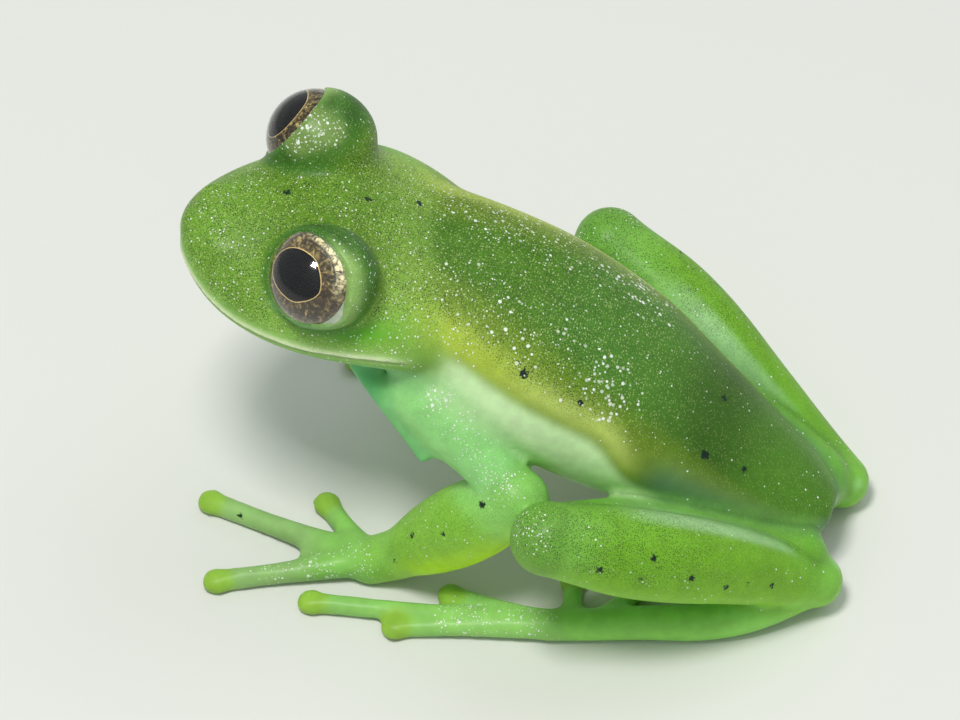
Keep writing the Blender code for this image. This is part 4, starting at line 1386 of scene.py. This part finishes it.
class Paint:
    """A material under construction: its nodes, with short ways to add to them."""

    def __init__(self, name):
        self.material = bpy.data.materials.new(name)
        self.material.use_nodes = True
        self.nodes = self.material.node_tree.nodes
        self.links = self.material.node_tree.links
        self.shader = self.nodes["Principled BSDF"]
        self.output = self.nodes["Material Output"]
        self.where = None

    def put(self, socket, value):
        """Sets a socket to a number or colour, or feeds it from another socket."""
        if isinstance(value, bpy.types.NodeSocket):
            self.links.new(value, socket)
        else:
            socket.default_value = value

    def add(self, kind, **inputs):
        node = self.nodes.new(kind)
        for name, value in inputs.items():
            self.put(node.inputs[name], value)
        return node

    def attribute(self, name, output="Fac"):
        node = self.nodes.new("ShaderNodeAttribute")
        node.attribute_name = name
        return node.outputs[output]

    def maths(self, operation, first, second=0.0):
        node = self.nodes.new("ShaderNodeMath")
        node.operation = operation
        self.put(node.inputs[0], first)
        self.put(node.inputs[1], second)
        return node.outputs[0]

    def times(self, first, second):
        return self.maths("MULTIPLY", first, second)

    def softly(self, value, low, high):
        """Rises smoothly from 0 at low to 1 at high, or falls if low is the higher."""
        node = self.nodes.new("ShaderNodeMapRange")
        node.interpolation_type = "SMOOTHSTEP"
        flip = low > high
        ends = (("From Min", min(low, high)), ("From Max", max(low, high)),
                ("To Min", 1.0 if flip else 0.0), ("To Max", 0.0 if flip else 1.0))
        self.put(node.inputs["Value"], value)
        for name, end in ends:
            self.put(node.inputs[name], end)
        return node.outputs["Result"]

    def place(self):
        """The point's place on the object, the same in every view."""
        if self.where is None:
            self.where = self.nodes.new("ShaderNodeTexCoord").outputs["Object"]
        return self.where

    def noise(self, size, detail=2.0, where=None):
        """Cloudy noise whose blobs have a size in millimetres."""
        node = self.add("ShaderNodeTexNoise", Vector=where or self.place(), Scale=1.0 / (size * MM),
                        Detail=detail)
        return node.outputs[0]

    def cells(self, size, scatter=1.0):
        """Scattered cells, so many millimetres apart: distance from a cell's middle, and its colour."""
        node = self.add("ShaderNodeTexVoronoi", Vector=self.place(), Scale=1.0 / (size * MM),
                        Randomness=scatter)
        return node.outputs["Distance"], node.outputs["Color"]

    def channel(self, colour, name):
        return self.add("ShaderNodeSeparateColor", Color=colour).outputs[name]

    def mix(self, share, first, second):
        node = self.nodes.new("ShaderNodeMix")
        node.data_type = "RGBA"
        self.put(node.inputs["Factor"], share)
        self.put(node.inputs[6], first)
        self.put(node.inputs[7], second)
        return node.outputs[2]

    def scaled(self, colour, by):
        """A colour made lighter or darker by a factor."""
        node = self.nodes.new("ShaderNodeVectorMath")
        node.operation = "SCALE"
        self.put(node.inputs[0], colour)
        self.put(node.inputs["Scale"], by)
        return node.outputs[0]

    def glint_dots(self, size, density, least, spread):
        """Painted glints: round white dots that stand for highlights, in scattered cells, of uneven size and
        brightness, as dense as an attribute says.
        """
        far, own = self.cells(size)
        present = self.maths("LESS_THAN", self.channel(own, "Red"), self.attribute(density))
        radius = self.maths("ADD", self.times(self.channel(own, "Green"), spread), least)
        dots = self.times(self.softly(self.maths("SUBTRACT", far, radius), *GLINT_DOT_EDGE), present)
        faint = self.maths("ADD", self.times(self.channel(own, "Blue"), 1.0 - FAINTEST_GLINT), FAINTEST_GLINT)
        return self.times(dots, faint)

    def bump(self, height, depth):
        """Relief from a height between 0 and 1, with its depth in millimetres."""
        node = self.add("ShaderNodeBump", Height=height, Distance=depth * MM, Strength=1.0)
        self.put(self.shader.inputs["Normal"], node.outputs[0])

    def sheen_of_water(self, coat, roughness):
        self.put(self.shader.inputs["Coat Weight"], coat)
        self.put(self.shader.inputs["Coat Roughness"], roughness)

    def glow_within(self, weight, reach):
        """Light scattered under the surface, with its reach in millimetres."""
        self.put(self.shader.inputs["Subsurface Weight"], weight)
        self.put(self.shader.inputs["Subsurface Scale"], reach * MM)
        self.put(self.shader.inputs["Subsurface Radius"], GLOW_COLOUR)


# Colours as light (red, green, blue and 1)
DOT_COLOUR = (0.012, 0.05, 0.008, 1.0)
SPOT_COLOUR = (0.006, 0.022, 0.012, 1.0)
PALE_COLOUR = (0.44, 0.58, 0.18, 1.0)
GLINT_COLOUR = (0.93, 1.0, 0.9, 1.0)
PUPIL_COLOUR = (0.002, 0.002, 0.003, 1.0)
SCLERA_COLOURS = ((0.40, 0.50, 0.38, 1.0), (0.55, 0.58, 0.42, 1.0))
CLEAR = (1.0, 1.0, 1.0, 1.0)
# The skin's patterns: spacings in millimetres, scatter, edges as shares of the spacing, and strengths
CLOUD_SIZES = (1.6, 0.45)
CLOUD_EDGE = (0.25, 0.75)
CLOUD_DEPTH = 0.13
CLOUD_LEAST = 0.87
GRAIN_CELLS = (0.082, 0.9)
GRAIN_EDGE = (0.5, 0.15)
GRAIN_PICK = (0.15, 0.6)
GRAIN_COVER = 0.9
NET_CELLS = (0.064, 0.85)
NET_EDGE = (0.5, 0.24)
NET_COVER = 0.9
DRIFT_SIZE = 0.5
DRIFT_EDGE = (0.3, 0.65)
DRIFT_DEPTH = 0.5
DRIFT_LEAST = 0.6
SPOT_ROUGHNESS = 0.22
SPOT_ROUGH_SIZE = 0.09
SPOT_EDGE = (0.03, -0.04)
# Painted highlights as white glint dots: spacing, density attribute, least radius and spread of radius
LARGE_GLINT_DOTS = (0.2, "large_glints", 0.22, 0.14)
SMALL_GLINT_DOTS = (0.105, "small_glints", 0.18, 0.18)
SKIN_ROUGHNESS = 0.45
SKIN_GLOSS = 0.25
SKIN_GLOW = (0.3, 0.5)
SKIN_WET = (0.06, 0.25)
GRAIN_RISE = 0.5
NET_SINK = 0.25
SKIN_RELIEF = 0.02


def skin_paint():
    """The skin: its ground colour under a net of dark points, pale grains, white dots painted as highlights
    and dark spots.
    """
    paint = Paint("skin")
    colour = paint.attribute("ground", "Color")
    cloud = paint.maths("ADD", *[paint.softly(paint.noise(size), *CLOUD_EDGE) for size in CLOUD_SIZES])
    colour = paint.scaled(colour, paint.maths("ADD", paint.times(cloud, CLOUD_DEPTH), CLOUD_LEAST))

    far, own = paint.cells(*GRAIN_CELLS)
    grain = paint.times(paint.softly(far, *GRAIN_EDGE), paint.attribute("pale"))
    grain = paint.times(grain, paint.softly(paint.channel(own, "Red"), *GRAIN_PICK))
    colour = paint.mix(paint.times(grain, GRAIN_COVER), colour, PALE_COLOUR)

    far = paint.cells(*NET_CELLS)[0]
    drift = paint.times(paint.softly(paint.noise(DRIFT_SIZE), *DRIFT_EDGE), DRIFT_DEPTH)
    drift = paint.maths("ADD", drift, DRIFT_LEAST)
    net = paint.times(paint.softly(far, *NET_EDGE), paint.times(paint.attribute("dotting"), drift))
    colour = paint.mix(paint.times(net, NET_COVER), colour, DOT_COLOUR)

    rough_edge = paint.maths("SUBTRACT", paint.noise(SPOT_ROUGH_SIZE, 1.0), 0.5)
    rough_edge = paint.times(rough_edge, SPOT_ROUGHNESS)
    spots = paint.softly(paint.maths("ADD", paint.attribute("spot_gap"), rough_edge), *SPOT_EDGE)
    colour = paint.mix(spots, colour, SPOT_COLOUR)

    # Painted highlights: white glint dots of two sizes
    white = paint.maths("MAXIMUM", paint.glint_dots(*LARGE_GLINT_DOTS), paint.glint_dots(*SMALL_GLINT_DOTS))
    colour = paint.mix(white, colour, GLINT_COLOUR)

    paint.put(paint.shader.inputs["Base Color"], colour)
    paint.put(paint.shader.inputs["Roughness"], SKIN_ROUGHNESS)
    paint.put(paint.shader.inputs["Specular IOR Level"], SKIN_GLOSS)
    paint.glow_within(*SKIN_GLOW)
    paint.sheen_of_water(*SKIN_WET)
    height = paint.maths("ADD", paint.times(grain, GRAIN_RISE), white)
    height = paint.maths("SUBTRACT", height, paint.times(net, NET_SINK))
    paint.bump(height, SKIN_RELIEF)
    return paint.material


# The eyes, seen through a clear dome that enlarges what is behind it
PUPIL_FRONT = 0.88
PUPIL_REAR = 0.95
PUPIL_HIGH = 0.74
PUPIL_LOW = 0.74
PUPIL_NASAL = 0.1
PUPIL_AHEAD = {"left": 0.85, "right": 1.04}
PUPIL_DOME = 0.2
IRIS_RIM = 1.61
IRIS_RIM_AHEAD = 0.4
IRIS_RINGS = 40
PUPIL_RINGS = 8
SCLERA_RINGS = 30
SCLERA_CORNER_BULGE = 0.17
DOME_START = 0.3
DOME_RINGS = 40
CORNEA_PROUD = 0.01
WATER_INDEX = 1.336
PUPIL_POWER = 2.1
PUPIL_BLUNTNESS = 0.5
PUPIL_BLUNT_SIDE = (-0.1, 0.7)
IRIS_CURVE = (0.45, 0.55)
# The white's bulge at the rear corner, by ring
BULGE_FIRST_RINGS = (0, 3)
BULGE_LAST_RINGS = (8, 18)


def pupil_edge(turn):
    """The pupil's radius: long from front to rear, with a blunt point at the rear."""
    c = np.cos(turn)
    s = np.sin(turn)
    power = PUPIL_POWER - PUPIL_BLUNTNESS * softly(c, *PUPIL_BLUNT_SIDE)
    long_side = np.where(c > 0.0, PUPIL_REAR - PUPIL_NASAL, PUPIL_FRONT + PUPIL_NASAL)
    tall_side = np.where(s > 0.0, PUPIL_HIGH, PUPIL_LOW)
    return (np.abs(c / long_side) ** power + np.abs(s / tall_side) ** power) ** (-1.0 / power)


def eye_mesh(name, side, rings, caps):
    """A round body from rings of (off the axis, ahead) pairs, each ring with its own material number."""
    rear, up, axis = eye_frame(side)
    middle = eye_centre(side)
    turns = np.arange(EYE_SEGMENTS) * 2.0 * math.pi / EYE_SEGMENTS
    mesh = bmesh.new()
    loops = []
    for off, ahead, _ in rings:
        offs = np.broadcast_to(off, turns.shape)
        aheads = np.broadcast_to(ahead, turns.shape)
        loops.append([
            mesh.verts.new(middle + rear * (r * math.cos(t)) + up * (r * math.sin(t)) + axis * a)
            for r, a, t in zip(offs, aheads, turns)])
    for k in range(len(loops) - 1):
        for i in range(EYE_SEGMENTS):
            j = (i + 1) % EYE_SEGMENTS
            face = mesh.faces.new((loops[k][i], loops[k][j], loops[k + 1][j], loops[k + 1][i]))
            face.material_index = rings[k + 1][2]
    for loop, ahead, number in ((loops[0], caps[0], rings[0][2]), (loops[-1], caps[1], rings[-1][2])):
        tip = mesh.verts.new(middle + axis * ahead)
        for i in range(EYE_SEGMENTS):
            face = mesh.faces.new((loop[i], loop[(i + 1) % EYE_SEGMENTS], tip))
            face.material_index = number
    return mesh_object(name, mesh)


# Marks of the iris: angles from the rear upward in degrees, and shares of the way from pupil to rim
BAND_TURNS = ((-5.0, 35.0), (95.0, 125.0))
BAND_SHARES = (0.42, 0.6)
PATCH_TURN_HILL = (-8.0, 22.0)
PATCH_SHARE_HILL = (0.25, 0.3)
# The lid's painted shadow on the iris: a dark line across its upper rear, at these angles and shares
LID_SHADOW_TURNS = ((10.0, 30.0), (110.0, 125.0))
LID_SHADOW_SHARE = 0.55
LID_SHADOW_HALF_WIDTH = 0.035
LID_SHADOW_DIP = 0.12
LID_SHADOW_DIP_HILL = (100.0, 30.0)
UPPER_TURNS = ((-20.0, 60.0), (120.0, 170.0))


def within(values, ends):
    """Rises over the first pair of values and falls over the second."""
    return softly(values, *ends[0]) * (1.0 - softly(values, *ends[1]))


def mark_iris(data, side):
    """Writes on the eyeball where the iris's band, patch, painted shadow line of the lid and upper part lie.
    """
    _, off, turn = eye_coordinates(Surface(data).points, side)
    edge = pupil_edge(turn)
    share = (off - edge) / (IRIS_RIM - edge)
    degrees = np.degrees(turn)
    lid_shadow_share = LID_SHADOW_SHARE - LID_SHADOW_DIP * hill(degrees, *LID_SHADOW_DIP_HILL)
    painted_shade_line = hill(share, lid_shadow_share, LID_SHADOW_HALF_WIDTH) * within(degrees, LID_SHADOW_TURNS)
    add_number(data, "share", share)
    add_number(data, "round_x", np.cos(turn))
    add_number(data, "round_y", np.sin(turn))
    add_number(data, "band", within(degrees, BAND_TURNS) * softly(share, *BAND_SHARES))
    add_number(data, "patch", hill(degrees, *PATCH_TURN_HILL) * hill(share, *PATCH_SHARE_HILL))
    add_number(data, "painted_shade_line", painted_shade_line)
    add_number(data, "upper", within(degrees, UPPER_TURNS))


def build_eyeball(side):
    """The eyeball with its black pupil, its iris and the white round it."""
    turns = np.arange(EYE_SEGMENTS) * 2.0 * math.pi / EYE_SEGMENTS
    edge = pupil_edge(turns)
    pupil_ahead = PUPIL_AHEAD[side]
    rings = []
    for k in range(1, PUPIL_RINGS + 1):
        share = k / PUPIL_RINGS
        rings.append((edge * share, pupil_ahead + PUPIL_DOME * (1.0 - share ** 2), 0))
    for k in range(1, IRIS_RINGS + 1):
        share = k / IRIS_RINGS
        drop = (pupil_ahead - IRIS_RIM_AHEAD) * (IRIS_CURVE[0] * share + IRIS_CURVE[1] * share ** 3)
        rings.append((edge + (IRIS_RIM - edge) * share, pupil_ahead - drop, 1))
    bulge = SCLERA_CORNER_BULGE * corner_share(turns)
    start = math.atan2(IRIS_RIM, IRIS_RIM_AHEAD)
    for k in range(1, SCLERA_RINGS):
        lean = start + (math.pi - start) * k / SCLERA_RINGS
        radius = EYE_RADIUS + bulge * softly(k, *BULGE_FIRST_RINGS) * (1.0 - softly(k, *BULGE_LAST_RINGS))
        rings.append((radius * math.sin(lean), radius * math.cos(lean), 2))
    thing = eye_mesh("eyeball_" + side, side, rings, (pupil_ahead + PUPIL_DOME, -EYE_RADIUS))
    mark_iris(thing.data, side)
    return thing


def build_cornea(side):
    """The clear dome over the iris."""
    rings = []
    radius = EYE_RADIUS + CORNEA_PROUD
    start = math.acos(DOME_START / radius)
    for k in range(DOME_RINGS, 0, -1):
        lean = start * k / DOME_RINGS
        rings.append((radius * math.sin(lean), radius * math.cos(lean), 0))
    return eye_mesh("cornea_" + side, side, rings, (DOME_START, radius))


IRIS_DARK = (0.030, 0.018, 0.006, 1.0)
IRIS_GOLD = (0.26, 0.19, 0.06, 1.0)
IRIS_PALE = (0.50, 0.42, 0.18, 1.0)
IRIS_CREAM = (0.75, 0.68, 0.38, 1.0)
IRIS_VEIN = (0.010, 0.007, 0.003, 1.0)
IRIS_RIM_COLOUR = (0.09, 0.055, 0.02, 1.0)
PUPIL_RING_COLOUR = (0.62, 0.46, 0.18, 1.0)
# The iris's patterns: sizes, edges and strengths
STREAKS_ROUND = 7.0
STREAKS_ACROSS = 3.5
STREAK_NOISE = {"Scale": 1.4, "Detail": 5.0, "Distortion": 0.6}
FLAKE_NOISE = (0.1, 4.0)
STREAK_SHARE = 0.6
UPPER_LIGHT = 0.05
GOLD_EDGE = (0.47, 0.64)
BRIGHT_EDGE = (0.58, 0.7)
BRIGHT_COVER = 0.6
CREAM_EDGE = (0.38, 0.5)
PATCH_COVER = 0.85
VEIN_SPACING = 0.2
VEIN_EDGE = (0.5, 0.7)
VEIN_COVER = 0.7
LID_SHADOW_COVER = 0.95
RIM_EDGE = (0.82, 1.0)
IRIS_RIM_COVER = 0.6
RING_EDGE = (0.045, 0.02)
IRIS_ROUGHNESS = 0.45
IRIS_RELIEF = 0.03
PUPIL_ROUGHNESS = 0.6
PUPIL_GLOSS = 0.1
SCLERA_CLOUD = 0.3
SCLERA_EDGE = (0.35, 0.65)
SCLERA_ROUGHNESS = 0.2
SCLERA_GLOW = (0.2, 0.3)
CORNEA_WET = (1.0, 0.1)


def pupil_paint():
    paint = Paint("pupil")
    paint.put(paint.shader.inputs["Base Color"], PUPIL_COLOUR)
    paint.put(paint.shader.inputs["Roughness"], PUPIL_ROUGHNESS)
    paint.put(paint.shader.inputs["Specular IOR Level"], PUPIL_GLOSS)
    return paint.material


def iris_paint():
    """The iris: dark brown with gold flecks, a pale cracked band above the rear, a painted lid shadow, a
    bright pupil edge.
    """
    paint = Paint("iris")
    share = paint.attribute("share")
    spun = paint.add("ShaderNodeCombineXYZ", X=paint.times(paint.attribute("round_x"), STREAKS_ROUND),
                     Y=paint.times(paint.attribute("round_y"), STREAKS_ROUND),
                     Z=paint.times(share, STREAKS_ACROSS)).outputs[0]
    streaks = paint.add("ShaderNodeTexNoise", Vector=spun, **STREAK_NOISE).outputs[0]
    flakes = paint.noise(*FLAKE_NOISE)
    flakes = paint.times(flakes, 1.0 - STREAK_SHARE)
    mottling = paint.maths("ADD", paint.times(streaks, STREAK_SHARE), flakes)
    light = paint.maths("ADD", mottling, paint.times(paint.attribute("upper"), UPPER_LIGHT))
    colour = paint.mix(paint.softly(light, *GOLD_EDGE), IRIS_DARK, IRIS_GOLD)
    veins = paint.softly(paint.cells(VEIN_SPACING)[0], *VEIN_EDGE)
    layers = (
        (paint.times(paint.softly(light, *BRIGHT_EDGE), BRIGHT_COVER), IRIS_PALE),
        (paint.times(paint.attribute("band"), paint.softly(mottling, *CREAM_EDGE)), IRIS_CREAM),
        (paint.times(paint.attribute("patch"), PATCH_COVER), IRIS_DARK),
        (paint.times(veins, VEIN_COVER), IRIS_VEIN),
        # the lid's shadow, painted as a dark line
        (paint.times(paint.attribute("painted_shade_line"), LID_SHADOW_COVER), IRIS_VEIN),
        (paint.times(paint.softly(share, *RIM_EDGE), IRIS_RIM_COVER), IRIS_RIM_COLOUR),
        (paint.softly(share, *RING_EDGE), PUPIL_RING_COLOUR),
    )
    for cover, over in layers:
        colour = paint.mix(cover, colour, over)
    paint.put(paint.shader.inputs["Base Color"], colour)
    paint.put(paint.shader.inputs["Roughness"], IRIS_ROUGHNESS)
    paint.bump(mottling, IRIS_RELIEF)
    return paint.material


def sclera_paint():
    paint = Paint("sclera")
    colour = paint.mix(paint.softly(paint.noise(SCLERA_CLOUD), *SCLERA_EDGE), *SCLERA_COLOURS)
    paint.put(paint.shader.inputs["Base Color"], colour)
    paint.put(paint.shader.inputs["Roughness"], SCLERA_ROUGHNESS)
    paint.glow_within(*SCLERA_GLOW)
    return paint.material


def cornea_paint():
    """Clear as water under a film that shines; the lights pass straight on to the iris."""
    paint = Paint("cornea")
    paint.put(paint.shader.inputs["Base Color"], CLEAR)
    paint.put(paint.shader.inputs["Roughness"], 0.0)
    paint.put(paint.shader.inputs["IOR"], WATER_INDEX)
    paint.put(paint.shader.inputs["Specular IOR Level"], 0.0)
    paint.put(paint.shader.inputs["Coat IOR"], WATER_INDEX)
    paint.sheen_of_water(*CORNEA_WET)
    paint.put(paint.shader.inputs["Transmission Weight"], 1.0)
    path = paint.nodes.new("ShaderNodeLightPath")
    clear = paint.nodes.new("ShaderNodeBsdfTransparent")
    mixer = paint.nodes.new("ShaderNodeMixShader")
    paint.links.new(path.outputs["Is Shadow Ray"], mixer.inputs[0])
    paint.links.new(paint.shader.outputs[0], mixer.inputs[1])
    paint.links.new(clear.outputs[0], mixer.inputs[2])
    paint.links.new(mixer.outputs[0], paint.output.inputs["Surface"])
    return paint.material


def floor_paint():
    paint = Paint("floor")
    paint.put(paint.shader.inputs["Base Color"], FLOOR_COLOUR)
    paint.put(paint.shader.inputs["Roughness"], FLOOR_ROUGHNESS)
    return paint.material


def add_floor():
    mesh = bmesh.new()
    bmesh.ops.create_grid(mesh, x_segments=1, y_segments=1, size=FLOOR_HALF)
    floor = mesh_object("floor", mesh)
    if floor.data.polygons[0].normal.z < 0.0:
        floor.data.flip_normals()
    floor.data.materials.append(floor_paint())


def add_world():
    world = bpy.data.worlds.new("studio")
    world.use_nodes = True
    background = world.node_tree.nodes["Background"]
    background.inputs["Color"].default_value = WORLD_COLOUR
    background.inputs["Strength"].default_value = WORLD_STRENGTH
    bpy.context.scene.world = world


skin, skin_surface = build_skin()
colour_skin(skin_surface)
place_in_frame(skin)
skin.data.materials.append(skin_paint())
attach(skin, "root")
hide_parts(*[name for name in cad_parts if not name.startswith("eye_")])

eye_paints = (pupil_paint(), iris_paint(), sclera_paint())
clear_paint = cornea_paint()
for side in SIDES:
    eyeball = build_eyeball(side)
    place_in_frame(eyeball)
    for material in eye_paints:
        eyeball.data.materials.append(material)
    cornea = build_cornea(side)
    place_in_frame(cornea)
    cornea.data.materials.append(clear_paint)
    for thing in (eyeball, cornea):
        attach(thing, "root")
    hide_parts("eye_" + side)

add_floor()
add_world()
add_area_light("key", KEY_WAY, KEY_DISTANCE, KEY_SIZE, KEY_POWER, KEY_COLOUR)
add_area_light("fill", FILL_WAY, FILL_DISTANCE, FILL_SIZE, FILL_POWER, FILL_COLOUR)
add_camera()
bpy.context.scene.view_settings.view_transform = "Standard"
